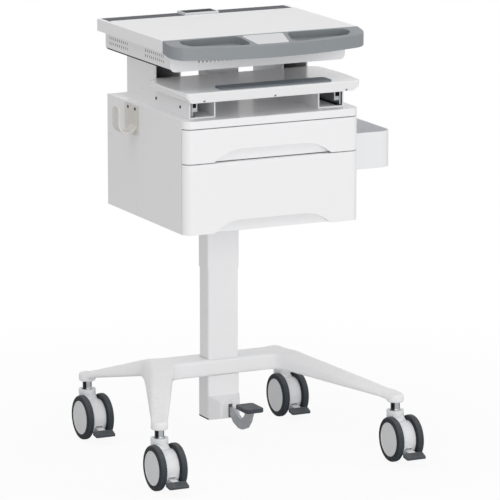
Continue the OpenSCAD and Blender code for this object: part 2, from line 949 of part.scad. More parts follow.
module scoop_cut(front_z) {
    half = scoop_w / 2;
    left = [for (s = scoop_shares) [s[0] * half, s[1] * scoop_h]];
    right = [for (i = [len(left) - 1:-1:0]) [-left[i][0], left[i][1]]];
    reach = scoop_depth / scoop_h;
    translate([0, 0, front_z])
        intersection() {
            front_profile(0, -2 * cab_front)
                polygon([each left, each right, [half, -over], [-half, -over]]);
            side_profile(cab_w)
                polygon([
                    [-cab_front - over, scoop_h + over],
                    [-cab_front, scoop_h],
                    for (k = [1:arc_steps])
                        [-cab_front + scoop_depth * sin(90 * k / arc_steps),
                         scoop_h * (1 - k / arc_steps) + reach * over],
                    [-cab_front + scoop_depth, -over],
                    [-cab_front - over, -over]
                ]);
        }
}

module drawer_front(z0, z1) {
    color(white)
        at_column()
            difference() {
                intersection() {
                    translate([0, 0, z0]) linear_extrude(z1 - z0) cabinet_plan(0);
                    front_room(cab_front + over, cab_front - front_t, z0 - over, z1 + over);
                }
                scoop_cut(z0);
            }
}

module upper_drawer_front() {
    drawer_front(upper_front_z + front_gap / 2, nose_z - front_gap);
}

module lower_drawer_front() {
    drawer_front(cab_bottom_z, upper_front_z - front_gap / 2);
}

drawer_half_w = cab_w / 2 - cab_wall - rail_w - rail_side_gap;

module drawer_box(z0, h, rail_z) {
    y0 = front_t - cab_front;
    y1 = y0 + drawer_depth;
    runner_h = rail_h - 2 * (rail_t + slide_gap);
    color(pale_grey)
        at_column() {
            difference() {
                block([-drawer_half_w, y0, z0], [drawer_half_w, y1, z0 + h]);
                block([drawer_wall - drawer_half_w, y0 + drawer_wall, z0 + drawer_wall],
                    [drawer_half_w - drawer_wall, y1 - drawer_wall, z0 + h + over]);
            }
            for (side = [0, 1])
                mirror([side, 0, 0])
                    block([drawer_half_w - drawer_wall / 2, y0 + rail_front_gap, rail_z - runner_h / 2],
                        [cab_w / 2 - cab_wall - rail_t - slide_gap, y1, rail_z + runner_h / 2]);
        }
}

upper_box_z = upper_front_z + drawer_lift;
lower_box_z = cab_bottom_z + drawer_lift;
upper_rail_z = upper_front_z + upper_rail_lift;
lower_rail_z = cab_bottom_z + lower_rail_lift;

module upper_drawer_box() {
    drawer_box(upper_box_z, upper_box_h, upper_rail_z);
}

module lower_drawer_box() {
    drawer_box(lower_box_z, lower_box_h, lower_rail_z);
}

module drawer_rails() {
    y0 = front_t - cab_front + rail_front_gap;
    y1 = front_t - cab_front + drawer_depth;
    wall_x = cab_w / 2 - cab_wall;
    color(steel)
        at_column()
            for (z = [upper_rail_z, lower_rail_z])
                for (side = [0, 1])
                    mirror([side, 0, 0])
                        difference() {
                            block([wall_x - rail_w, y0, z - rail_h / 2], [wall_x, y1, z + rail_h / 2]);
                            block([wall_x - rail_w - over, y0 - over, z - rail_h / 2 + rail_t],
                                [wall_x - rail_t, y1 + over, z + rail_h / 2 - rail_t]);
                        }
}

// Side bin and hook
module side_bin() {
    x0 = cab_w / 2;
    y0 = -bin_front;
    z1 = cab_top_z - bin_drop;
    z0 = z1 - bin_h;
    low = [x0, y0];
    high = [x0 + bin_w, y0 + bin_d];
    inset = [bin_wall, bin_wall];
    color(pale_grey)
        at_column()
            difference() {
                translate([0, 0, z0])
                    linear_extrude(bin_h)
                        polygon(rounded([low, [high[0], low[1]], high, [low[0], high[1]]],
                            [0, bin_corner_r, bin_corner_r, 0]));
                translate([0, 0, z0 + bin_wall])
                    linear_extrude(bin_h)
                        plan_rect(low + inset, high - inset, bin_corner_r - bin_wall, bin_corner_r - bin_wall);
            }
}

hook_top_z = cab_top_z - hook_top_gap;
hook_bottom_z = hook_top_z - hook_plate_h;

module hook_front_view() {
    r = hook_out / 2;
    turn_z = hook_bottom_z + hook_strap_lift + r;
    inner = r - hook_strap_t;
    arc = [for (k = [0:2 * arc_steps]) 180 + 180 * k / (2 * arc_steps)];
    translate([-cab_w / 2 - r, 0])
        polygon([
            [-r, hook_top_z],
            for (a = arc) [r * cos(a), turn_z + r * sin(a)],
            [r, turn_z + r], [inner, turn_z + r],
            for (k = [len(arc) - 1:-1:0]) [inner * cos(arc[k]), turn_z + inner * sin(arc[k])],
            [-inner, hook_top_z]
        ]);
}

// Outline along Y and Z between two corners, with one radius below and one above
module hook_outline(low, high, low_r, high_r) {
    polygon(rounded([low, [high[0], low[1]], high, [low[0], high[1]]], [low_r, low_r, high_r, high_r]));
}

module cable_hook() {
    plate_x = -cab_w / 2;
    front_y = hook_rear - hook_plate_w;
    strap_y = hook_rear - hook_strap_y;
    slot_r = hook_slot_w / 2 - slide_gap;
    slot_z = hook_top_z - hook_slot_margin - hook_slot_len / 2;
    color(beige_grey)
        at_column()
            difference() {
                union() {
                    translate([plate_x - hook_t / 2, 0, 0])
                        side_profile(hook_t)
                            hook_outline([front_y, hook_bottom_z], [hook_rear, hook_top_z],
                                hook_corner_r, small_r);
                    intersection() {
                        front_profile(strap_y + hook_w / 2, strap_y - hook_w / 2) hook_front_view();
                        side_profile(2 * cab_w)
                            hook_outline([strap_y - hook_w / 2, hook_bottom_z],
                                [strap_y + hook_w / 2, hook_top_z], 0, hook_lip_r);
                    }
                }
                translate([plate_x - hook_out + hook_strap_t / 2, strap_y, slot_z])
                    side_profile(2 * hook_strap_t)
                        hook_outline([-hook_slot_w / 2, -hook_slot_len / 2],
                            [hook_slot_w / 2, hook_slot_len / 2], slot_r, slot_r);
                for (y = hook_screw_y)
                    translate([plate_x, hook_rear - y, hook_top_z - hook_screw_drop])
                        rod_x(screw_d + 2 * run_fit, 4 * hook_t);
            }
}

// Supports between the cabinet and the equipment box
module support_side_view(inset, extra) {
    z0 = cab_top_z + inset;
    polygon([
        [-channel_front - extra, z0], [support_rear - inset, z0],
        [support_rear - inset, cab_top_z + support_h - inset],
        [-upright_front - extra, cab_top_z + support_h - inset],
        [-upright_front - extra, cab_top_z + channel_h + extra],
        [-channel_front - extra, cab_top_z + channel_h + extra]
    ]);
}

// Drawn for the left side, and mirrored for the right
module support(side) {
    x0 = -support_span / 2;
    color(white)
        at_column()
            mirror([side, 0, 0])
                difference() {
                    translate([x0 + support_w / 2, 0, 0])
                        side_profile(support_w) support_side_view(0, 0);
                    translate([x0 + support_w / 2, 0, 0])
                        side_profile(support_w - 2 * support_wall) support_side_view(support_wall, over);
                    for (y = support_screw_y)
                        translate([x0, -y, cab_top_z + support_screw_z])
                            rod_x(screw_d + 2 * run_fit, 3 * support_wall);
                }
}

slide_x = support_span / 2 - support_wall;
slide_z = cab_top_z + support_wall;
slide_y = -channel_front + slide_setback;

module tray_rails_fixed() {
    color(steel)
        at_column()
            for (side = [0, 1])
                mirror([side, 0, 0])
                    difference() {
                        block([-slide_x, slide_y, slide_z],
                            [slide_w - slide_x, slide_y + slide_len, slide_z + slide_h]);
                        block([slide_t - slide_x, slide_y - over, slide_z + slide_t],
                            [slide_w + over - slide_x, slide_y + slide_len + over, slide_z + slide_h - slide_t]);
                        for (y = support_screw_y)
                            translate([-slide_x, -y, cab_top_z + support_screw_z])
                                rod_x(screw_d + 2 * run_fit, 3 * slide_t);
                    }
}

module tray_rails_sliding() {
    runner_x = slide_t + slide_gap + screw_head_h;
    arm_x = slide_w + bracket_t;
    z0 = slide_z + slide_t + slide_gap;
    z1 = slide_z + slide_h - slide_t - slide_gap;
    arm_z = (z0 + z1 - bracket_arm_h) / 2;
    y0 = slide_y + slide_setback;
    color(steel)
        at_column()
            for (side = [0, 1])
                mirror([side, 0, 0]) {
                    block([runner_x - slide_x, slide_y, z0],
                        [runner_x + bracket_t - slide_x, slide_y + slide_len, z1]);
                    block([runner_x - slide_x, y0, arm_z],
                        [arm_x + bracket_t - slide_x, y0 + bracket_len, arm_z + bracket_arm_h]);
                    block([arm_x - slide_x, y0, arm_z],
                        [arm_x + bracket_t - slide_x, y0 + bracket_len, tray_bottom_z]);
                }
}

// Keyboard tray
module tray_plan() {
    x = tray_w / 2;
    y0 = -tray_front;
    y1 = y0 + tray_d;
    polygon(rounded(
        [
            [tray_front_loss - x, y0], [x - tray_front_loss, y0], [x, y0 + tray_widest],
            [x - tray_rear_loss, y1], [tray_rear_loss - x, y1], [-x, y0 + tray_widest]
        ],
        [tray_front_r, tray_front_r, tray_side_r, tray_rear_r, tray_rear_r, tray_side_r]));
}

module keyboard_tray() {
    x = tray_w / 2;
    low = tray_bottom_z - skirt_h;
    lip_z = tray_bottom_z + tray_t - tray_lip_h;
    top = tray_bottom_z + tray_t;
    y1 = tray_d - tray_front;
    x_in = x - skirt_side_loss - skirt_wall;
    y_in = tray_front - skirt_front_loss - skirt_wall;
    color(white)
        at_column()
            difference() {
                intersection() {
                    translate([0, 0, low]) linear_extrude(top - low) tray_plan();
                    front_profile(2 * tray_front, -2 * tray_front)
                        polygon([[skirt_side_loss - x, low], [x - skirt_side_loss, low], [x, lip_z],
                            [x, top + over], [-x, top + over], [-x, lip_z]]);
                    side_profile(2 * tray_w)
                        polygon([[skirt_front_loss - tray_front, low], [y1 - skirt_front_loss, low],
                            [y1, lip_z], [y1, top + over], [-tray_front, top + over],
                            [-tray_front, lip_z]]);
                }
                block([-x_in, -y_in, low - over], [x_in, y1 - skirt_front_loss - skirt_wall, tray_bottom_z]);
                wrist_slab(slide_gap, top + over);
            }
}

// Outline of the wrist rest grown by a gap, from the floor of its seat up to a height
module wrist_slab(gap, top) {
    x0 = wrist_shift - wrist_w / 2 - gap;
    y0 = -tray_front + wrist_setback - gap;
    r = wrist_corner_r + gap;
    slab([x0, y0], [x0 + wrist_w + 2 * gap, y0 + wrist_d + 2 * gap],
        tray_bottom_z + tray_t - wrist_sink, top, r, r);
}

module wrist_rest() {
    color(mid_grey)
        at_column()
            wrist_slab(0, tray_bottom_z + tray_t + wrist_t);
}

// Equipment box under the worktop
module box_front_view(inset, top) {
    x = box_w / 2 - inset;
    polygon(rounded(
        [[-x, box_bottom_z + inset], [x, box_bottom_z + inset], [x, top], [-x, top]],
        [box_edge_r - inset, box_edge_r - inset, 0, 0]));
}

module equipment_box() {
    color(white)
        at_column()
            difference() {
                front_profile(box_rear, -box_front) box_front_view(0, top_bottom_z);
                front_profile(box_rear - box_wall, box_wall - box_front)
                    box_front_view(box_wall, top_bottom_z + over);
                for (z = vent_rows, start = vent_starts, k = [0:vent_count - 1])
                    translate([0, box_rear - start - k * vent_pitch, box_bottom_z + z])
                        cube([box_w + 2 * over, vent_w, vent_h], center = true);
                for (side = [-1, 1], k = [0:front_vent_count - 1])
                    translate([side * (box_w / 2 - front_vent_start - k * front_vent_pitch), -box_front,
                        box_bottom_z + vent_rows[0]])
                        cube([vent_w, 4 * box_wall, front_vent_h], center = true);
            }
}

// Worktop with its rear strip and cable port
strip_front_y = strip_rear_y - strip_d;
port_rear_y = strip_rear_y - port_margin;
port_front_y = port_rear_y - port_d;

module strip_block(gap, z0, z1) {
    x = top_w / 2 - strip_side - gap;
    block([-x, strip_front_y + gap, z0], [x, strip_rear_y - gap, z1]);
}

module cable_hole(z0, z1) {
    x = port_w / 2 - port_ledge;
    block([-x, port_front_y + port_ledge, z0], [x, port_rear_y - port_ledge, z1]);
}

module worktop() {
    color(white)
        at_column()
            difference() {
                union() {
                    slab([-top_w / 2, -top_front], [top_w / 2, top_rear], top_bottom_z, top_z, 0, top_corner_r);
                    block([strip_side - top_w / 2, strip_front_y - bead_w, top_z - over],
                        [top_w / 2 - strip_side, strip_front_y, top_z + bead_h]);
                }
                strip_block(0, top_z - strip_t, top_z + over);
                cable_hole(top_bottom_z - over, top_z + over);
            }
}

module rear_strip() {
    color(dark_grey)
        at_column()
            difference() {
                strip_block(slide_gap, top_z - strip_t, top_z + slide_gap);
                cable_hole(top_bottom_z - over, top_z + over);
            }
}

lid_axis_y = port_rear_y - lip - lid_t / 2 - lid_gap;
lid_axis_z = top_z + port_h - lid_t / 2;

module port_frame() {
    x = port_w / 2;
    color(pale_grey)
        at_column()
            difference() {
                block([-x, port_front_y, top_z + slide_gap], [x, port_rear_y, top_z + port_h]);
                block([lip - x, port_front_y + lip, lid_axis_z - lid_t / 2 - slide_gap],
                    [x - lip, port_rear_y - lip, top_z + port_h + over]);
                cable_hole(top_z - over, top_z + port_h + over);
                translate([0, lid_axis_y, lid_axis_z])
                    rod_x(lid_pin_d + 2 * run_fit, port_w - lip);
            }
}

module port_lid() {
    x = port_w / 2 - lip - lid_gap;
    color(near_black)
        at_column() {
            block([-x, port_front_y + lip + lid_gap, lid_axis_z - lid_t / 2],
                [x, lid_axis_y, lid_axis_z + lid_t / 2]);
            translate([0, lid_axis_y, lid_axis_z]) {
                rod_x(lid_t, 2 * x);
                rod_x(lid_pin_d, port_w - lip - 2 * slide_gap);
            }
        }
}

// Handle in front of the worktop
// Depth of the handle at a distance from its centre, as a gentle bow
function handle_depth(x) = handle_d - handle_bow * pow(2 * x / handle_w, 2);

module handle_plan() {
    half = handle_w / 2;
    steps = 4 * arc_steps;
    bow_end = half - handle_corner_r - small_r;
    front = [for (k = [0:steps])
        let (x = bow_end * (1 - 2 * k / steps))
        [x, -handle_depth(x)]];
    pts = [[half, 0], [half, -handle_depth(half)], each front, [-half, -handle_depth(half)], [-half, 0]];
    last = len(pts) - 1;
    translate([0, -top_front])
        polygon(rounded(pts, [for (i = [0:last]) i == 1 || i == last - 1 ? handle_corner_r : 0]));
}

module handle_side_view() {
    y1 = -top_front;
    y0 = y1 - handle_d;
    polygon([[y1, top_z], [y1, top_z - handle_t], [y0, top_z - handle_drop - handle_t], [y0, top_z - handle_drop]]);
}

// Places a drawing on the sloping top of the handle, with Y running back from its rear edge
module on_handle() {
    translate([0, -top_front, top_z])
        rotate([handle_slope, 0, 0])
            children();
}

function pocket_points() =
    [for (s = pocket_shares) [s[0] * handle_w / 2, -s[1] * handle_d]];

module panel_plan(gap) {
    rear = panel_w / 2 - gap;
    front = rear - panel_taper / 2;
    y1 = -panel_margin - gap;
    y0 = -panel_margin - panel_d + gap;
    polygon(rounded([[-rear, y1], [-front, y0], [front, y0], [rear, y1]],
        alike([0, 0, 0, 0], panel_r)));
}

module handle() {
    color(mid_grey)
        at_column()
            difference() {
                intersection() {
                    linear_extrude(top_z + over) handle_plan();
                    side_profile(2 * handle_w) handle_side_view();
                }
                on_handle() {
                    for (side = [0, 1])
                        mirror([side, 0, 0])
                            translate([0, 0, -pocket_depth])
                                linear_extrude(2 * pocket_depth)
                                    polygon(rounded(pocket_points(), alike(pocket_shares, pocket_r)));
                    translate([0, 0, -panel_sink])
                        linear_extrude(2 * panel_sink)
                            panel_plan(0);
                }
            }
}

module handle_panel() {
    color(white)
        at_column()
            on_handle()
                translate([0, 0, -panel_sink])
                    linear_extrude(panel_t)
                        panel_plan(slide_gap);
}

// One pan head screw along -X, its head resting against a wall at the given place
module screw(len) {
    rotate([0, -90, 0]) cylinder(d = screw_head_d, h = screw_head_h);
    rotate([0, 90, 0]) cylinder(d = screw_d, h = len);
}

module screws() {
    color(near_black)
        at_column() {
            for (side = [0, 1])
                for (y = support_screw_y)
                    mirror([side, 0, 0])
                        translate([-support_span / 2, -y, cab_top_z + support_screw_z])
                            screw(support_wall + slide_t);
            for (y = hook_screw_y)
                translate([-cab_w / 2 - hook_t, hook_rear - y, hook_top_z - hook_screw_drop])
                    screw(hook_t);
        }
}

caster_housing(0);  // caster_housing_front_left
caster_housing(1);  // caster_housing_front_right
caster_housing(2);  // caster_housing_rear_left
caster_housing(3);  // caster_housing_rear_right
brake_pedal(0);  // brake_pedal_front_left
brake_pedal(1);  // brake_pedal_front_right
brake_pedal(2);  // brake_pedal_rear_left
brake_pedal(3);  // brake_pedal_rear_right
tyre(0, -1);  // tyre_front_left_outer
tyre(0, 1);  // tyre_front_left_inner
tyre(1, -1);  // tyre_front_right_inner
tyre(1, 1);  // tyre_front_right_outer
tyre(2, -1);  // tyre_rear_left_outer
tyre(2, 1);  // tyre_rear_left_inner
tyre(3, -1);  // tyre_rear_right_inner
tyre(3, 1);  // tyre_rear_right_outer
rim(0, -1);  // rim_front_left_outer
rim(0, 1);  // rim_front_left_inner
rim(1, -1);  // rim_front_right_inner
rim(1, 1);  // rim_front_right_outer
rim(2, -1);  // rim_rear_left_outer
rim(2, 1);  // rim_rear_left_inner
rim(3, -1);  // rim_rear_right_inner
rim(3, 1);  // rim_rear_right_outer
caster_stems();
base_frame();
column_housing();
housing_cap();
pedal_hood();
pedal_lever();
foot_pad();
column_tube();
column_sleeve();
gas_spring_cylinder();
gas_spring_rod();
cabinet_shell();
upper_drawer_front();
lower_drawer_front();
upper_drawer_box();
lower_drawer_box();
drawer_rails();
cable_hook();
side_bin();
support(0);  // support_left
support(1);  // support_right
tray_rails_fixed();
tray_rails_sliding();
keyboard_tray();
wrist_rest();
equipment_box();
worktop();
rear_strip();
handle();
handle_panel();
port_frame();
port_lid();
screws();
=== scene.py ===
# %% [markdown]
# # Dressing a mobile medical workstation
# A hospital trolley stands on four braked casters. A splayed base carries a lifting column,
# and the column carries a drawer cabinet, a keyboard tray and a worktop with a grey handle.
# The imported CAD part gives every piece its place. This lesson gives them their looks: softer
# edges, turned wheels, a padded wrist rest and a procedural material on each surface.

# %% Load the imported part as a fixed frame
import json
import math
import bmesh
import bpy
from mathutils import Matrix, Vector


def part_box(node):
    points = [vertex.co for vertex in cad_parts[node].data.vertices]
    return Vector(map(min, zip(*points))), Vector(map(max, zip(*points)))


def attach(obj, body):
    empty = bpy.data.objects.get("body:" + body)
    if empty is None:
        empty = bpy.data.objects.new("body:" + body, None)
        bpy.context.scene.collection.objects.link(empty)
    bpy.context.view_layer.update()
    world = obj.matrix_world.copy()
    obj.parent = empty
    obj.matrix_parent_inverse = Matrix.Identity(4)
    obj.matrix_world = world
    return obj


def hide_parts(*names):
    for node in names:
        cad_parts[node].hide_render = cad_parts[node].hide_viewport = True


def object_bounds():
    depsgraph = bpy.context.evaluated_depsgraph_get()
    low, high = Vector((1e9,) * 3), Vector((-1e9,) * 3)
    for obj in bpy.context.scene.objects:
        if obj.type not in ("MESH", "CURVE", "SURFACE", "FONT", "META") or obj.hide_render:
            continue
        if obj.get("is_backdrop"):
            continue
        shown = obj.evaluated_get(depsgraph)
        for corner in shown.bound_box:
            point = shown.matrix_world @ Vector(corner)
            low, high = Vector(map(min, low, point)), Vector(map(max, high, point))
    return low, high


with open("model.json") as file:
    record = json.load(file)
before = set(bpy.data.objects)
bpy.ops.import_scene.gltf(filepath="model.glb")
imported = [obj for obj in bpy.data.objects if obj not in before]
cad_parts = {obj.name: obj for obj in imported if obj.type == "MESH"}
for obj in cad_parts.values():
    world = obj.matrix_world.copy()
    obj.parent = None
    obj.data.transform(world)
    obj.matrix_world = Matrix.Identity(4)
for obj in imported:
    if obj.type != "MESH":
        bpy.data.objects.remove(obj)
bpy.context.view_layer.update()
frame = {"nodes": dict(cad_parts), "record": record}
slots = {part["node"]: part["material_slot"] for part in frame["record"]["subparts"]}

# %% [markdown]
# ## Camera
# The photograph was taken from far away with a long lens, so its lines barely converge. The
# camera comes first, because every later choice is judged through it. Its place, its lens and
# its two angles were solved from edges of the cabinet, worktop and wheels.

# %% Camera at the photograph's angle
MM = 0.001
turn_right = math.radians(25.908)
look_down = math.radians(11.818)
camera_data = bpy.data.cameras.new("camera")
camera_data.sensor_width = 36
camera_data.lens = 313.757
camera_data.clip_start = 0.5
camera_data.clip_end = 100
camera = bpy.data.objects.new("camera", camera_data)
camera.location = (-4.08736, -8.46891, 2.42455)
camera.rotation_euler = (math.pi / 2 - look_down, 0, -turn_right)
bpy.context.scene.collection.objects.link(camera)
bpy.context.scene.camera = camera
print("camera", [round(v, 3) for v in camera.location], "lens", camera_data.lens)

# %% [markdown]
# ## Light
# The photograph has a white sweep and big soft lamps in front of the trolley, a little to
# its left. Large area lamps give the same even light and very soft shadows. The world adds a
# plain grey fill from every side. Rays that come straight from the camera, off a glossy
# surface or through a clear one see it as white, so the background costs the object no
# extra light.

# %% World
scene = bpy.context.scene
scene.view_settings.view_transform = "Standard"
world = bpy.data.worlds.new("studio")
scene.world = world
world.use_nodes = True
tree = world.node_tree
tree.nodes.clear()
fill = tree.nodes.new("ShaderNodeBackground")
fill.inputs["Color"].default_value = (1, 1, 1, 1)
fill.inputs["Strength"].default_value = 0.57
backdrop = tree.nodes.new("ShaderNodeBackground")
backdrop.inputs["Color"].default_value = (1, 1, 1, 1)
backdrop.inputs["Strength"].default_value = 1.0
path = tree.nodes.new("ShaderNodeLightPath")
seen = tree.nodes.new("ShaderNodeMath")
seen.operation = "MAXIMUM"
clear = tree.nodes.new("ShaderNodeMath")
clear.operation = "MAXIMUM"
mix = tree.nodes.new("ShaderNodeMixShader")
out = tree.nodes.new("ShaderNodeOutputWorld")
tree.links.new(path.outputs["Is Camera Ray"], seen.inputs[0])
tree.links.new(path.outputs["Is Glossy Ray"], seen.inputs[1])
tree.links.new(seen.outputs[0], clear.inputs[0])
tree.links.new(path.outputs["Is Transmission Ray"], clear.inputs[1])
tree.links.new(clear.outputs[0], mix.inputs["Fac"])
tree.links.new(fill.outputs[0], mix.inputs[1])
tree.links.new(backdrop.outputs[0], mix.inputs[2])
tree.links.new(mix.outputs[0], out.inputs["Surface"])
print("world nodes:", len(tree.nodes))


# %% Lamps
def lamp(name, place, target, size, power):
    data = bpy.data.lights.new(name, "AREA")
    data.shape = "RECTANGLE"
    data.size, data.size_y = size
    data.energy = power
    thing = bpy.data.objects.new(name, data)
    thing.location = place
    thing.rotation_euler = (Vector(target) - Vector(place)).to_track_quat("-Z", "Y").to_euler()
    bpy.context.scene.collection.objects.link(thing)
    print("lamp", name, power, "W")


lamp("key_front", (-0.15, -5.0, 1.5), (0, 0, 0.45), (3.2, 2.6), 57)
lamp("low_front", (-0.3, -4.0, 0.5), (0, 0, 0.25), (2.4, 0.8), 8)
lamp("top_soft", (-1.3, -0.9, 3.9), (0, 0, 0.9), (2.6, 2.6), 22)
lamp("right_soft", (3.4, -1.2, 3.0), (0.2, 0, 0.7), (2.0, 2.0), 12)

# %% [markdown]
# ## Floor
# The trolley stands on white paper. A plain diffuse floor under these lamps would come out
# grey at its far end, so most of what the camera sees of it is white light of strength one,
# and the rest is a real matte surface. The matte share keeps a faint shadow at the wheels,
# and it fades out with distance, so the sweep behind is pure white. All other rays see the
# matte floor alone, which throws a little light up under the base.

# %% Floor plane
floor_mesh = bpy.data.meshes.new("floor")
bm = bmesh.new()
bmesh.ops.create_grid(bm, x_segments=1, y_segments=1, size=30)
bm.to_mesh(floor_mesh)
bm.free()
floor = bpy.data.objects.new("floor", floor_mesh)
bpy.context.scene.collection.objects.link(floor)
floor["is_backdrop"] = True
paper = bpy.data.materials.new("paper_floor")
paper.use_nodes = True
tree = paper.node_tree
tree.nodes.clear()
matte = tree.nodes.new("ShaderNodeBsdfDiffuse")
matte.inputs["Color"].default_value = (0.8, 0.8, 0.803, 1)
white = tree.nodes.new("ShaderNodeEmission")
white.inputs["Strength"].default_value = 1.0
path = tree.nodes.new("ShaderNodeLightPath")
place = tree.nodes.new("ShaderNodeTexCoord")
reach = tree.nodes.new("ShaderNodeVectorMath")
reach.operation = "LENGTH"
fade = tree.nodes.new("ShaderNodeMapRange")
fade.inputs["From Min"].default_value = 0.45
fade.inputs["From Max"].default_value = 1.5
fade.inputs["To Min"].default_value = 0.92
fade.inputs["To Max"].default_value = 1.0
share = tree.nodes.new("ShaderNodeMath")
share.operation = "MULTIPLY"
tree.links.new(place.outputs["Object"], reach.inputs[0])
tree.links.new(reach.outputs["Value"], fade.inputs["Value"])
tree.links.new(fade.outputs["Result"], share.inputs[1])
mix = tree.nodes.new("ShaderNodeMixShader")
out = tree.nodes.new("ShaderNodeOutputMaterial")
tree.links.new(path.outputs["Is Camera Ray"], share.inputs[0])
tree.links.new(share.outputs[0], mix.inputs["Fac"])
tree.links.new(matte.outputs[0], mix.inputs[1])
tree.links.new(white.outputs[0], mix.inputs[2])
tree.links.new(mix.outputs[0], out.inputs["Surface"])
floor_mesh.materials.append(paper)
print("floor faces:", len(floor_mesh.polygons))

# %% [markdown]
# ## Shared surface effects
# Paint and moulded plastic look alike from far away, and differ close by: both have a fine
# skin, a slow drift of tone, and a little dust low down. Each effect is a node group that
# puts out masks and heights. A material then mixes them with its own amounts. The patterns
# read Object coordinates, and every finished piece keeps its object at the origin, so they
# run on from piece to piece at one real scale.


# %% A helper that makes a node group
def shader_group(name, inputs, outputs):
    group = bpy.data.node_groups.new(name, "ShaderNodeTree")
    for label, value in inputs:
        socket = group.interface.new_socket(label, in_out="INPUT", socket_type="NodeSocketFloat")
        socket.default_value = value
    for label in outputs:
        group.interface.new_socket(label, in_out="OUTPUT", socket_type="NodeSocketFloat")
    start = group.nodes.new("NodeGroupInput")
    end = group.nodes.new("NodeGroupOutput")
    return group, start, end


def maths(tree, operation, first, second):
    node = tree.nodes.new("ShaderNodeMath")
    node.operation = operation
    for i, value in enumerate((first, second)):
        if isinstance(value, (int, float)):
            node.inputs[i].default_value = value
        elif value is not None:
            tree.links.new(value, node.inputs[i])
    return node.outputs[0]


print("helpers ready")

# %% Skin: fine grain, slow drift of tone and faint handling marks
skin, start, end = shader_group(
    "surface_skin", [("Grain per metre", 900.0), ("Drift", 1.0)], ["Height", "Tone", "Marks"])
place = skin.nodes.new("ShaderNodeTexCoord")
grain = skin.nodes.new("ShaderNodeTexNoise")
grain.inputs["Detail"].default_value = 3
grain.inputs["Roughness"].default_value = 0.6
skin.links.new(place.outputs["Object"], grain.inputs["Vector"])
skin.links.new(start.outputs["Grain per metre"], grain.inputs["Scale"])
drift = skin.nodes.new("ShaderNodeTexNoise")
drift.inputs["Scale"].default_value = 5.5
drift.inputs["Detail"].default_value = 4
skin.links.new(place.outputs["Object"], drift.inputs["Vector"])
marks = skin.nodes.new("ShaderNodeTexNoise")
marks.inputs["Scale"].default_value = 34
marks.inputs["Detail"].default_value = 5
marks.inputs["Distortion"].default_value = 1.4
skin.links.new(place.outputs["Object"], marks.inputs["Vector"])
skin.links.new(grain.outputs["Fac"], end.inputs["Height"])
tone = maths(skin, "MULTIPLY", drift.outputs["Fac"], start.outputs["Drift"])
skin.links.new(tone, end.inputs["Tone"])
skin.links.new(marks.outputs["Fac"], end.inputs["Marks"])
print(skin.name, len(skin.nodes), "nodes")

# %% Dust: a mask that grows towards the floor and on faces that look up
dust, start, end = shader_group(
    "settled_dust", [("Reach in metres", 0.35), ("Amount", 0.3)], ["Mask"])
place = dust.nodes.new("ShaderNodeTexCoord")
parts = dust.nodes.new("ShaderNodeSeparateXYZ")
dust.links.new(place.outputs["Object"], parts.inputs[0])
facing = dust.nodes.new("ShaderNodeSeparateXYZ")
geometry = dust.nodes.new("ShaderNodeNewGeometry")
dust.links.new(geometry.outputs["Normal"], facing.inputs[0])
speck = dust.nodes.new("ShaderNodeTexNoise")
speck.inputs["Scale"].default_value = 70
speck.inputs["Detail"].default_value = 6
dust.links.new(place.outputs["Object"], speck.inputs["Vector"])
least_dust = 0.15  # sides and undersides still catch some
height = maths(dust, "DIVIDE", parts.outputs["Z"], start.outputs["Reach in metres"])
low = maths(dust, "MAXIMUM", maths(dust, "SUBTRACT", 1.0, height), 0.0)
up = maths(dust, "MAXIMUM", facing.outputs["Z"], least_dust)
mask = maths(dust, "MULTIPLY", maths(dust, "MULTIPLY", low, up), speck.outputs["Fac"])
dust.links.new(maths(dust, "MULTIPLY", mask, start.outputs["Amount"]), end.inputs["Mask"])
print(dust.name, len(dust.nodes), "nodes")

# %% Edge wear: corners rub first, so a rounded normal is compared with the true one
wear, start, end = shader_group(
    "edge_wear", [("Radius in metres", 0.0012), ("Amount", 1.0)], ["Mask"])
rounder = wear.nodes.new("ShaderNodeBevel")
rounder.samples = 4
wear.links.new(start.outputs["Radius in metres"], rounder.inputs["Radius"])
geometry = wear.nodes.new("ShaderNodeNewGeometry")
apart = wear.nodes.new("ShaderNodeVectorMath")
apart.operation = "DOT_PRODUCT"
wear.links.new(rounder.outputs["Normal"], apart.inputs[0])
wear.links.new(geometry.outputs["Normal"], apart.inputs[1])
place = wear.nodes.new("ShaderNodeTexCoord")
chips = wear.nodes.new("ShaderNodeTexNoise")
chips.inputs["Scale"].default_value = 120
chips.inputs["Detail"].default_value = 5
wear.links.new(place.outputs["Object"], chips.inputs["Vector"])
edge_gain = 4.0
turned_away = maths(
    wear, "MULTIPLY", maths(wear, "SUBTRACT", 1.0, apart.outputs["Value"]), edge_gain)
rubbed = maths(wear, "MULTIPLY", turned_away, chips.outputs["Fac"])
limited = wear.nodes.new("ShaderNodeClamp")
wear.links.new(maths(wear, "MULTIPLY", rubbed, start.outputs["Amount"]), limited.inputs["Value"])
wear.links.new(limited.outputs["Result"], end.inputs["Mask"])
print(wear.name, len(wear.nodes), "nodes")

# %% Brushing: long fine streaks for rolled or plated steel
brushing, start, end = shader_group(
    "brushed_lines", [("Lines per metre", 1500.0)], ["Height", "Tone"])
place = brushing.nodes.new("ShaderNodeTexCoord")
stretch = brushing.nodes.new("ShaderNodeMapping")
stretch.inputs["Scale"].default_value = (1.0, 0.02, 1.0)
streak = brushing.nodes.new("ShaderNodeTexNoise")
streak.inputs["Detail"].default_value = 2
brushing.links.new(place.outputs["Object"], stretch.inputs["Vector"])
brushing.links.new(stretch.outputs[0], streak.inputs["Vector"])
brushing.links.new(start.outputs["Lines per metre"], streak.inputs["Scale"])
brushing.links.new(streak.outputs["Fac"], end.inputs["Height"])
brushing.links.new(streak.outputs["Fac"], end.inputs["Tone"])
print(brushing.name, len(brushing.nodes), "nodes")

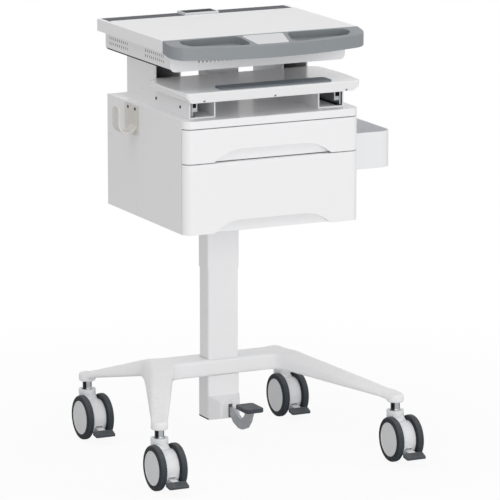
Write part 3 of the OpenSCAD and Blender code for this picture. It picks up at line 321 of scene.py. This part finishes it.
# %% [markdown]
# ## Materials
# Every finish on the trolley is one plain coat: powder paint on the steel, a satin skin on
# the white mouldings, a fine spark texture on the grey handle. So one function lays out the
# nodes, and each finish passes in its own colours and amounts. A number that is the same all
# over is typed on the shader's own socket.


# %% Colour helpers
def srgb(red, green, blue):
    def linear(value):
        c = value / 255
        return c / 12.92 if c <= 0.04045 else ((c + 0.055) / 1.055) ** 2.4
    return (linear(red), linear(green), linear(blue), 1)


def blend_colours(tree, fac, first, second):
    node = tree.nodes.new("ShaderNodeMix")
    node.data_type = "RGBA"
    for socket, value in (("A_Color", first), ("B_Color", second)):
        target = next(s for s in node.inputs if s.identifier == socket)
        if isinstance(value, tuple):
            target.default_value = value
        else:
            tree.links.new(value, target)
    tree.links.new(fac, next(s for s in node.inputs if s.identifier == "Factor_Float"))
    return next(s for s in node.outputs if s.identifier == "Result_Color")


dust_colour = srgb(150, 147, 142)
print("dust colour:", [round(v, 3) for v in dust_colour[:3]])


# %% The general finish: grain in marks per metre, bump in millimetres
def finish(name, colour, shade, roughness, grain, bump, dusty=0.25, metal=0.0,
           specular=0.3, worn=None, rub=0.3, spread=0.05):
    material = bpy.data.materials.new(name)
    material.use_nodes = True
    tree = material.node_tree
    shader = tree.nodes["Principled BSDF"]
    surface = tree.nodes.new("ShaderNodeGroup")
    surface.node_tree = skin
    surface.inputs["Grain per metre"].default_value = grain
    dirt = tree.nodes.new("ShaderNodeGroup")
    dirt.node_tree = dust
    dirt.inputs["Amount"].default_value = dusty
    toned = blend_colours(tree, surface.outputs["Tone"], srgb(*colour), srgb(*shade))
    dusted = blend_colours(tree, dirt.outputs["Mask"], toned, dust_colour)
    edges = tree.nodes.new("ShaderNodeGroup")
    edges.node_tree = wear
    edges.inputs["Amount"].default_value = rub
    aged = blend_colours(tree, edges.outputs["Mask"], dusted, srgb(*(worn or shade)))
    tree.links.new(aged, shader.inputs["Base Color"])
    gloss = tree.nodes.new("ShaderNodeMapRange")
    gloss.inputs["From Min"].default_value = 0.25
    gloss.inputs["From Max"].default_value = 0.75
    gloss.inputs["To Min"].default_value = max(0.02, roughness - spread)
    gloss.inputs["To Max"].default_value = min(1.0, roughness + spread)
    tree.links.new(surface.outputs["Marks"], gloss.inputs["Value"])
    tree.links.new(gloss.outputs["Result"], shader.inputs["Roughness"])
    relief = tree.nodes.new("ShaderNodeBump")
    relief.inputs["Strength"].default_value = 1.0
    relief.inputs["Distance"].default_value = bump * MM
    tree.links.new(surface.outputs["Height"], relief.inputs["Height"])
    tree.links.new(relief.outputs["Normal"], shader.inputs["Normal"])
    shader.inputs["Metallic"].default_value = metal
    shader.inputs["Specular IOR Level"].default_value = specular
    return material


print("finish ready")

# %% The moulded and painted finishes
finishes = {
    "white_paint": finish(
        "powder_coat_white", (249, 249, 250), (245, 245, 246), 0.3, 1100, 0.008,
        specular=0.4, rub=0.15, spread=0.03),
    "grey_paint": finish(
        "powder_coat_grey", (206, 208, 210), (196, 198, 200), 0.42, 1100, 0.02),
    "black_paint": finish(
        "gloss_black", (20, 20, 22), (26, 26, 28), 0.22, 900, 0.01,
        specular=0.12, worn=(60, 60, 64)),
    "white_plastic": finish(
        "white_moulding", (249, 249, 250), (246, 246, 247), 0.36, 1400, 0.008, rub=0.15),
    "light_plastic": finish(
        "pale_moulding", (245, 246, 248), (240, 241, 243), 0.4, 1300, 0.015),
    "rim_plastic": finish(
        "rim_grey", (228, 229, 230), (220, 221, 222), 0.45, 1200, 0.012,
        dusty=0.3, worn=(232, 232, 233)),
    "grey_plastic": finish(
        "handle_grey", (146, 151, 155), (139, 144, 148), 0.42, 1600, 0.03,
        specular=0.42, worn=(160, 164, 168)),
    "dark_plastic": finish(
        "pedal_grey", (70, 76, 83), (63, 69, 76), 0.5, 1500, 0.05,
        dusty=0.35, specular=0.2, worn=(120, 126, 132)),
    "black_plastic": finish(
        "satin_black", (32, 33, 36), (38, 39, 42), 0.5, 1300, 0.02,
        specular=0.05, worn=(80, 82, 86)),
    "warm_grey_plastic": finish(
        "hook_grey", (230, 228, 223), (224, 221, 216), 0.4, 1300, 0.015),
    "tyre_rubber": finish(
        "wheel_rubber", (58, 66, 74), (50, 57, 64), 0.6, 1000, 0.05,
        dusty=0.5, specular=0.18, worn=(78, 84, 90)),
    "grey_rubber": finish(
        "wrist_rubber", (128, 135, 142), (120, 127, 134), 0.65, 1800, 0.05,
        specular=0.15, worn=(126, 132, 138)),
    "black_steel": finish(
        "black_oxide", (34, 35, 38), (44, 45, 48), 0.4, 1200, 0.01,
        metal=0.6, worn=(110, 112, 116)),
    "chrome_steel": finish(
        "chrome_plate", (214, 216, 219), (204, 206, 210), 0.1, 800, 0.001,
        metal=1.0, rub=0.0, spread=0.02),
}
for name, material in finishes.items():
    print(name, len(material.node_tree.nodes), "nodes")

# %% Finishes for a few places of their own
tray_finish = finish(
    "gloss_white", (249, 249, 250), (246, 246, 247), 0.14, 1400, 0.005, specular=0.6)
panel_finish = finish("panel_white", (232, 232, 234), (227, 227, 229), 0.4, 1500, 0.01)
strip_finish = finish(
    "strip_grey", (112, 114, 118), (104, 106, 110), 0.6, 1500, 0.03,
    specular=0.04, worn=(130, 132, 136))
# Tyre sidewalls: a darker rubber than the tread, painted darker still as shade on the sides that
# face away from the lamps.
sidewall = finish(
    "sidewall_rubber_and_shade", (40, 44, 49), (34, 38, 42), 0.55, 900, 0.03,
    dusty=0.4, specular=0.15, worn=(70, 75, 80))
# Painted shade: a near-black finish for faces deep inside hollow shells, standing in for the
# shade there.
inside_shade_paint = finish(
    "painted_inside_shade", (40, 40, 42), (34, 34, 36), 0.8, 1100, 0.02, dusty=0.1, specular=0.05)
print("strip nodes:", len(strip_finish.node_tree.nodes))

# %% [markdown]
# The chrome stems stand among dark wheels, which show in them as one broad dark band on their
# left and one thin line on their right. The bands belong to fixed sides of the stem, so they
# are masks of the surface normal in Object coordinates.

# %% Bands on the chrome
chrome = finishes["chrome_steel"]
tree = chrome.node_tree
shader = tree.nodes["Principled BSDF"]
place = tree.nodes.new("ShaderNodeTexCoord")
band_colour = srgb(46, 47, 50)
dark = None
# Each band: degrees from the front towards the left, full width and faded width either side
for degrees, inner, outer in ((62, 24, 34), (-33, 4, 8)):
    side = tree.nodes.new("ShaderNodeVectorMath")
    side.operation = "DOT_PRODUCT"
    angle = math.radians(degrees)
    side.inputs[1].default_value = (-math.sin(angle), -math.cos(angle), 0)
    band = tree.nodes.new("ShaderNodeMapRange")
    band.inputs["From Min"].default_value = math.cos(math.radians(outer))
    band.inputs["From Max"].default_value = math.cos(math.radians(inner))
    tree.links.new(place.outputs["Normal"], side.inputs[0])
    tree.links.new(side.outputs["Value"], band.inputs["Value"])
    dark = maths(tree, "MAXIMUM", band.outputs["Result"], dark if dark else 0.0)
plain = shader.inputs["Base Color"].links[0].from_socket
tree.links.new(blend_colours(tree, dark, plain, band_colour), shader.inputs["Base Color"])
print("chrome nodes:", len(tree.nodes))

# %% Bare steel has its streaks in place of the moulded skin
bare = bpy.data.materials.new("zinc_steel")
bare.use_nodes = True
tree = bare.node_tree
shader = tree.nodes["Principled BSDF"]
lines = tree.nodes.new("ShaderNodeGroup")
lines.node_tree = brushing
tree.links.new(
    blend_colours(tree, lines.outputs["Tone"], srgb(196, 198, 201), srgb(170, 172, 176)),
    shader.inputs["Base Color"])
relief = tree.nodes.new("ShaderNodeBump")
relief.inputs["Distance"].default_value = 0.02 * MM
tree.links.new(lines.outputs["Height"], relief.inputs["Height"])
tree.links.new(relief.outputs["Normal"], shader.inputs["Normal"])
shader.inputs["Metallic"].default_value = 1.0
shader.inputs["Roughness"].default_value = 0.36
finishes["bare_steel"] = bare
print("bare_steel", len(tree.nodes), "nodes")

# %% [markdown]
# ## Pieces that keep their CAD shape
# Sheet steel and mouldings never have knife edges. A small round along each edge catches the
# light and is most of what makes a part look real. Copying the CAD mesh and bevelling it
# keeps every size exact. The copy is merged first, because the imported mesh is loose
# triangles, and flat faces are dissolved so that the bevel meets clean corners.


# %% Find the sharp edges and round them
def sharp_edges(bm, angle):
    limit = math.radians(angle)
    return [e for e in bm.edges if len(e.link_faces) == 2 and e.calc_face_angle(0) > limit]


def round_edges(bm, width, segments=3, angle=30, edges=None):
    chosen = sharp_edges(bm, angle) if edges is None else edges
    bmesh.ops.bevel(bm, geom=chosen, offset=width * MM, offset_type="OFFSET", affect="EDGES",
                    segments=segments, profile=0.5, material=-1, clamp_overlap=True)


print("edge helpers ready")


# %% Put a finished mesh in the scene, on its body and in place of its CAD nodes
def place_piece(bm, name, material, body, nodes=(), smooth=32):
    mesh = bpy.data.meshes.new(name)
    bm.to_mesh(mesh)
    bm.free()
    mesh.materials.append(material)
    for face in mesh.polygons:
        face.use_smooth = True
    mesh.set_sharp_from_angle(angle=math.radians(smooth))
    piece = bpy.data.objects.new(name, mesh)
    bpy.context.scene.collection.objects.link(piece)
    weights = piece.modifiers.new("even_shading", "WEIGHTED_NORMAL")
    weights.keep_sharp = True
    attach(piece, body)
    if nodes:
        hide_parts(*nodes)
    return piece


body_of = {node: body for body, nodes in frame["record"]["behaviour"]["bodies"].items()
           for node in nodes}
print("nodes on bodies:", len(body_of), "bodies:", len(set(body_of.values())))

# %% Copy a CAD node, and copy it with rounded edges
same_point = 0.01 * MM
same_plane = math.radians(0.3)


def cad_copy(node):
    bm = bmesh.new()
    bm.from_mesh(frame["nodes"][node].data)
    bmesh.ops.remove_doubles(bm, verts=bm.verts, dist=same_point)
    bmesh.ops.dissolve_limit(bm, angle_limit=same_plane, verts=bm.verts, edges=bm.edges)
    return bm


def softened(node, name, width, segments=3, angle=30, painted_shade_test=None, own_finish=None,
             leave=None, reshape=None):
    bm = cad_copy(node)
    if reshape:
        reshape(bm)
    edges = sharp_edges(bm, angle)
    if leave:
        edges = [e for e in edges if not leave((e.verts[0].co + e.verts[1].co) / 2 / MM)]
    round_edges(bm, width, segments, edges=edges)
    slot = slots[node]
    piece = place_piece(bm, name, own_finish or finishes[slot], body_of[node], [node])
    # Faces that the given test picks get the painted shade finish.
    if painted_shade_test:
        piece.data.materials.append(inside_shade_paint)
        for face in piece.data.polygons:
            if painted_shade_test(face.center / MM, face.normal):
                face.material_index = 1
    print(name, len(piece.data.polygons), "faces")
    return piece


print("points closer than", same_point / MM, "mm are merged")

# %% [markdown]
# The base is a casting. The outer sides of its legs lean inwards towards the top, and the
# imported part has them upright. Its legs and bosses run into each other with generous rounds
# that no edge bevel can follow. So the copy is turned into an even skin of small squares. Its
# points are moved inwards by a share of their height, and then drawn towards their
# neighbours, many times along the legs and only a few times at the bosses. That takes
# material away at the edges and fills the inner corners a little, so the casting stays
# inside the box of the CAD part.

# %% Slope of the legs' outer sides
# At each Y, in millimetres: underside, top, inner side and outer side of a leg, and the width
# that it loses at its top
leg_rows = [
    (-192, 132, 145, 269, 305, 1), (-117, 142, 165, 220, 268, 6), (-39, 148, 180, 182, 243, 13),
    (39, 155, 192, 142, 214, 19), (72, 158, 197, 110, 202, 19), (105, 158, 197, 100, 190, 17),
    (142, 158, 197, 120, 180, 11), (205, 147, 176, 182, 220, 8), (276, 132, 145, 226, 262, 0)]
underside, top_face, inner_side, outer_side, top_loss = 1, 2, 3, 4, 5


def along(y, column):
    for before, after in zip(leg_rows, leg_rows[1:]):
        if y <= after[0] or after is leg_rows[-1]:
            share = min(1.0, max(0.0, (y - before[0]) / (after[0] - before[0])))
            return before[column] + (after[column] - before[column]) * share


print("width lost at the crossbar:", along(72, top_loss), "mm")

# %% Even skin on the base casting
rough = bpy.data.objects.new("rough_casting", bpy.data.meshes.new("rough_casting"))
bm = cad_copy("base_frame")
bm.to_mesh(rough.data)
bm.free()
bpy.context.scene.collection.objects.link(rough)
even_skin = rough.modifiers.new("even_skin", "REMESH")
even_skin.mode = "VOXEL"
even_skin.voxel_size = 2.2 * MM
solved = rough.evaluated_get(bpy.context.evaluated_depsgraph_get())
bm = bmesh.new()
bm.from_mesh(solved.to_mesh())
solved.to_mesh_clear()
bpy.data.objects.remove(rough)
print("even skin:", len(bm.verts), "points")

# %% Slope and soften the base casting
stems = [Vector(spot) for spot in ((-0.2867, -0.19815), (0.2867, -0.19815),
                                   (-0.2446, 0.28165), (0.2446, 0.28165))]
for v in bm.verts:
    y = v.co.y / MM
    low, high, inner, outer, loss = (
        along(y, column) for column in (underside, top_face, inner_side, outer_side, top_loss))
    rise = min(1.0, max(0.0, (v.co.z / MM - low) / (high - low)))
    far = abs(v.co.x) / MM - inner
    if far > 0:
        kept = 1 - rise * loss / (outer - inner)
        v.co.x = math.copysign((inner + far * kept) * MM, v.co.x)
all_turns, boss_turns = 34, 5
boss_r, boss_growth = 0.021, 0.0004  # metres, so that the bosses blend in step by step
for turn in range(all_turns):
    reach = 0.0 if turn < boss_turns else boss_r + boss_growth * turn
    legs = [v for v in bm.verts if min((v.co.xy - stem).length for stem in stems) > reach]
    bmesh.ops.smooth_vert(
        bm, verts=legs, factor=0.5, use_axis_x=True, use_axis_y=True, use_axis_z=True)
base = place_piece(bm, "base_casting", finishes["white_paint"], body_of["base_frame"],
                   ["base_frame"], 180)
print("base:", len(base.data.polygons), "faces")

# %% [markdown]
# The foot of the column is a square sleeve with a cap and a moulded cover for the pedal. The
# cover's slot for the lever has a strip only one millimetre high under it, so the edges near
# the slot are left sharp. The lever is a flat bar of steel that dips under the pad. The
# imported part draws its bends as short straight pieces, so the lines across the bar at each
# bend are rounded first, and the long edges after them.

# %% Foot of the column
slot_half = 8
softened("column_housing", "column_foot_sleeve", 0.6, 2)
softened("housing_cap", "column_foot_cap", 0.6, 2)
softened("pedal_hood", "pedal_cover", 1.2, 3, 28, leave=lambda middle: abs(middle.x) < slot_half)

# %% Pedal lever: its bends are drawn round before its edges are
bar_half, bar_spare = 3.5, 0.1
hinge_y = 50 * MM
bm = cad_copy("pedal_lever")
bends = [e for e in sharp_edges(bm, 3)
         if abs(e.verts[0].co.x + e.verts[1].co.x) < bar_spare * MM
         and abs(abs(e.verts[0].co.x) - bar_half * MM) < bar_spare * MM
         and e.verts[0].co.y < hinge_y]
round_edges(bm, 4.0, 3, edges=bends)
bmesh.ops.remove_doubles(bm, verts=bm.verts, dist=2 * same_point)
round_edges(bm, 0.8, 2, edges=[e for e in sharp_edges(bm, 60) if e.verts[0].co.y < hinge_y])
lever = place_piece(bm, "foot_lever", finishes[slots["pedal_lever"]], body_of["pedal_lever"],
                    ["pedal_lever"])
print("lever:", len(lever.data.polygons), "faces, bends:", len(bends))

# %% [markdown]
# The column is two square tubes, one in the other, with a gas spring inside. The cabinet is a
# folded sheet shell with two drawers, a bin and a hook. Drawer fronts are mouldings, so their
# edges are twice as round as the sheet's.

# %% Foot pad, lift and cabinet
softened("foot_pad", "foot_pad_tread", 2.0, 3)
softened("column_tube", "inner_column", 0.5, 2)
softened("column_sleeve", "outer_column", 0.4, 2)
softened("gas_spring_cylinder", "lift_cylinder", 0.6, 2)
softened("gas_spring_rod", "lift_rod", 0.5, 2)
softened("cabinet_shell", "cabinet_body", 0.8, 2)
softened("upper_drawer_front", "upper_drawer_face", 1.6, 3, 40)
softened("lower_drawer_front", "lower_drawer_face", 1.6, 3, 40)
softened("upper_drawer_box", "upper_drawer_tub", 0.6, 2)
softened("lower_drawer_box", "lower_drawer_tub", 0.6, 2)
softened("drawer_rails", "drawer_runners", 0.3, 2)
softened("side_bin", "storage_bin", 0.9, 2)
softened("cable_hook", "cable_hanger", 1.0, 3)

# %% [markdown]
# Seen from outside, the insides of the two uprights and of the equipment box are almost
# black, because no light reaches them. Faces that lie inside those shells therefore get
# painted shade: a near-black finish of their own that stands in for that darkness. They are
# found by their place: within the box of the cavity, or within the wall and square to it, as
# the sides of a vent slot are.


# %% Faces that get painted shade inside the uprights and the equipment box, in millimetres
def inside_support(centre, normal):
    post_back, post_inner, post_outer, post_foot = 37.8, 125.5, 183.5, 824
    across = post_inner < abs(centre.x) < post_outer
    return across and centre.y > post_back and centre.z > post_foot


def inside_case(centre, normal):
    edge_on = 0.3
    cavity = abs(centre.x) < 209.2 and -94.5 < centre.y < 242.2 and 883.6 < centre.z < 928
    side_wall = 208 < abs(centre.x) < 210.35 and centre.y > -92 and centre.z > 896
    front_wall = -96.0 < centre.y < -94 and abs(centre.x) < 190 and centre.z > 890
    side_slot = side_wall and abs(normal.x) < edge_on
    front_slot = front_wall and abs(normal.y) < edge_on
    return cavity or side_slot or front_slot


print("a point in the case is inside:", inside_case(Vector((0, 0, 900)), Vector((0, 0, 1))))

# %% Supports, tray, box, worktop and handle
# The insides of the uprights get painted shade, and so do the cavity and vent slots of the
# equipment box.
softened("support_left", "left_support", 0.8, 2, painted_shade_test=inside_support)
softened("support_right", "right_support", 0.8, 2, painted_shade_test=inside_support)
softened("tray_rails_fixed", "tray_outer_slides", 0.3, 2, own_finish=finishes["black_steel"])
softened("tray_rails_sliding", "tray_inner_slides", 0.3, 2)
softened("keyboard_tray", "keyboard_shelf", 1.2, 3, own_finish=tray_finish)
softened("wrist_rest", "wrist_pad", 1.4, 5)
softened("equipment_box", "equipment_case", 0.3, 2, painted_shade_test=inside_case)
softened("worktop", "worktop_slab", 1.2, 3)
softened("rear_strip", "rear_inlay", 0.3, 2, own_finish=strip_finish)
softened("handle", "grip_bar", 2.0, 3, 40)
softened("handle_panel", "blank_centre_panel", 0.6, 2, own_finish=panel_finish)
softened("port_frame", "cable_port_frame", 0.5, 2)
softened("port_lid", "cable_port_lid", 0.4, 2)
softened("screws", "pan_screws", 0.2, 2)

# %% [markdown]
# Three small rubber buffers sit low on the front band of the tray. Each is a shallow turned
# button, set square to the band, which leans back towards its lower edge.

# %% Tray buffers
band_lean = 23
band_y, band_z = -171.6, 828.5
bm = bmesh.new()
for x in (-165, 4, 176):
    button = bmesh.ops.create_cone(bm, cap_ends=True, segments=24, radius1=2.6 * MM,
                                   radius2=1.9 * MM, depth=1.6 * MM)
    lean = Matrix.Rotation(math.radians(90 + band_lean), 4, "X")
    seat = Matrix.Translation((x * MM, band_y * MM, band_z * MM))
    bmesh.ops.transform(bm, matrix=seat @ lean, verts=button["verts"])
round_edges(bm, 0.3, 2, 50)
buffers = place_piece(bm, "tray_buffers", finishes["grey_rubber"], body_of["keyboard_tray"])
print("buffers:", len(buffers.data.polygons), "faces")

# %% [markdown]
# ## Wheels
# A tyre and a rim are round all over, so each is a small outline turned about its axle.
# The tyre's outline has a slightly crowned tread, rounded shoulders and a shallow groove
# round each sidewall. The rim is a dished disc with a thin ring round it and a slight dome.
# Both outlines are measured as a radius and a depth, counted from the wheel's inner face.


# %% Turn an outline about an axle
def arc(centre, radius, start, stop, steps=5):
    points = []
    for k in range(steps + 1):
        turn = math.radians(start + (stop - start) * k / steps)
        points.append((centre[0] + radius * math.cos(turn), centre[1] + radius * math.sin(turn)))
    return points


def turned(outline, axle, outward, closed, steps=72):
    bm = bmesh.new()
    ring = [bm.verts.new(axle + Vector((outward * depth * MM, 0, radius * MM)))
            for radius, depth in outline]
    pairs = list(zip(ring, ring[1:] + ring[:1])) if closed else list(zip(ring, ring[1:]))
    edges = [bm.edges.new(pair) for pair in pairs]
    bmesh.ops.spin(bm, geom=ring + edges, cent=axle, axis=(1, 0, 0), angle=2 * math.pi,
                   steps=steps, use_merge=True)
    bmesh.ops.remove_doubles(bm, verts=bm.verts, dist=same_point / 2)
    bmesh.ops.recalc_face_normals(bm, faces=bm.faces)
    return bm


print("arc of a shoulder:", [tuple(round(v, 2) for v in p) for p in arc((45, 5), 5, -90, 0, 2)])

# %% Outlines in millimetres
wheel_r, bore_r, width, shoulder = 49.98, 38.0, 15.4, 5.0
tyre_outline = (
    [(bore_r, 0.02), (41.2, 0.02), (41.7, 0.45), (43.0, 0.45), (43.6, 0.02)]
    + arc((wheel_r - shoulder, shoulder), shoulder - 0.02, -90, 0)
    + [(wheel_r, width / 2)]
    + arc((wheel_r - shoulder, width - shoulder), shoulder - 0.02, 0, 90)
    + [(43.6, width - 0.02), (43.0, width - 0.45), (41.7, width - 0.45), (41.2, width - 0.02),
       (bore_r, width - 0.02)])
pin_r, hub_r, ring_r = 4.06, 9.05, 33.0
web = 11.42  # depth of the disc's back
rim_outline = [
    (0, web), (pin_r, web), (pin_r, 0.3), (pin_r + 0.3, 0.02), (hub_r - 0.5, 0.02), (hub_r, 0.5),
    (hub_r, web), (ring_r, web), (ring_r, 0.5), (ring_r + 0.5, 0.02), (37.5, 0.02), (37.95, 0.5),
    (37.95, width - 0.5), (37.5, width - 0.02), (34.6, width - 0.02), (34.1, width - 0.3),
    (33.8, 14.5), (32.9, 14.3), (32.2, 14.55), (20, 14.75), (8, 14.95), (0, 15.0)]
print("tyre points:", len(tyre_outline), "rim points:", len(rim_outline))

# %% Size of a packed rim
rim_low, rim_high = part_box("rim_front_left_outer")
print("rim box:", [round(v / MM, 2) for v in rim_high - rim_low])

# %% [markdown]
# A caster's housing has a narrow neck under its ring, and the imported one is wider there. The
# points just below the ring are drawn in to the radius of the head. The brake pedal is a
# dark tread on a light arm, and both are one moulding, so the faces of the arm get the light
# finish by their place.

# %% Helpers for the casters
head_r, ring_z = 19.0, 97.0
arm_reach, arm_rise = 22, 4
flat_side = 0.75


def slim_shoulders(bm, stem):
    for v in bm.verts:
        arm = v.co.xy - stem
        if ring_z - 1 < v.co.z / MM < ring_z + 0.5 and arm.length > (head_r + 0.6) * MM:
            v.co.xy = stem + arm.normalized() * head_r * MM


def second_finish(piece, material, chosen):
    piece.data.materials.append(material)
    for face in piece.data.polygons:
        if chosen(face):
            face.material_index = 1


print("housing radius under the ring:", head_r, "mm")

# %% Casters, brakes and stems
corners = ("front_left", "front_right", "rear_left", "rear_right")
for corner, stem in zip(corners, stems):
    softened(f"caster_housing_{corner}", f"caster_body_{corner}", 0.8, 2, 32,
             reshape=lambda bm: slim_shoulders(bm, stem))
    body_low, body_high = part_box(f"caster_housing_{corner}")
    pedal = softened(f"brake_pedal_{corner}", f"brake_tread_{corner}", 1.2, 3)
    pedal_low, pedal_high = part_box(f"brake_pedal_{corner}")
    second_finish(pedal, finishes["light_plastic"], lambda face: (
        face.center.y > pedal_high.y - arm_reach * MM
        and face.center.z > pedal_low.z + arm_rise * MM))
    middle_x = (body_low.x + body_high.x) / 2
    for side in ("outer", "inner"):
        low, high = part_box(f"tyre_{corner}_{side}")
        outward = 1 if (low.x + high.x) / 2 > middle_x else -1
        inner_face = low.x if outward > 0 else high.x
        axle = Vector((inner_face, (low.y + high.y) / 2, (low.z + high.z) / 2))
        tyre = place_piece(
            turned(tyre_outline, axle, outward, True), f"rubber_tyre_{corner}_{side}",
            finishes["tyre_rubber"], body_of[f"tyre_{corner}_{side}"],
            [f"tyre_{corner}_{side}"], 40)
        # The sidewall faces get the darker finish: darker rubber with painted shade in it.
        second_finish(tyre, sidewall, lambda face: abs(face.normal.x) > flat_side)
        place_piece(
            turned(rim_outline, axle, outward, False), f"wheel_disc_{corner}_{side}",
            finishes["rim_plastic"], body_of[f"rim_{corner}_{side}"],
            [f"rim_{corner}_{side}"], 40)
    print(corner, "caster dressed")
softened("caster_stems", "chrome_stems", 0.4, 2)

# %% [markdown]
# ## Size
# The size of the dressed model is printed at the end. The dressed model has to stay
# inside the box of the CAD part.

# %% Size of the dressed model
low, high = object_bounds()
print("visual size:", [round(v, 4) for v in high - low])
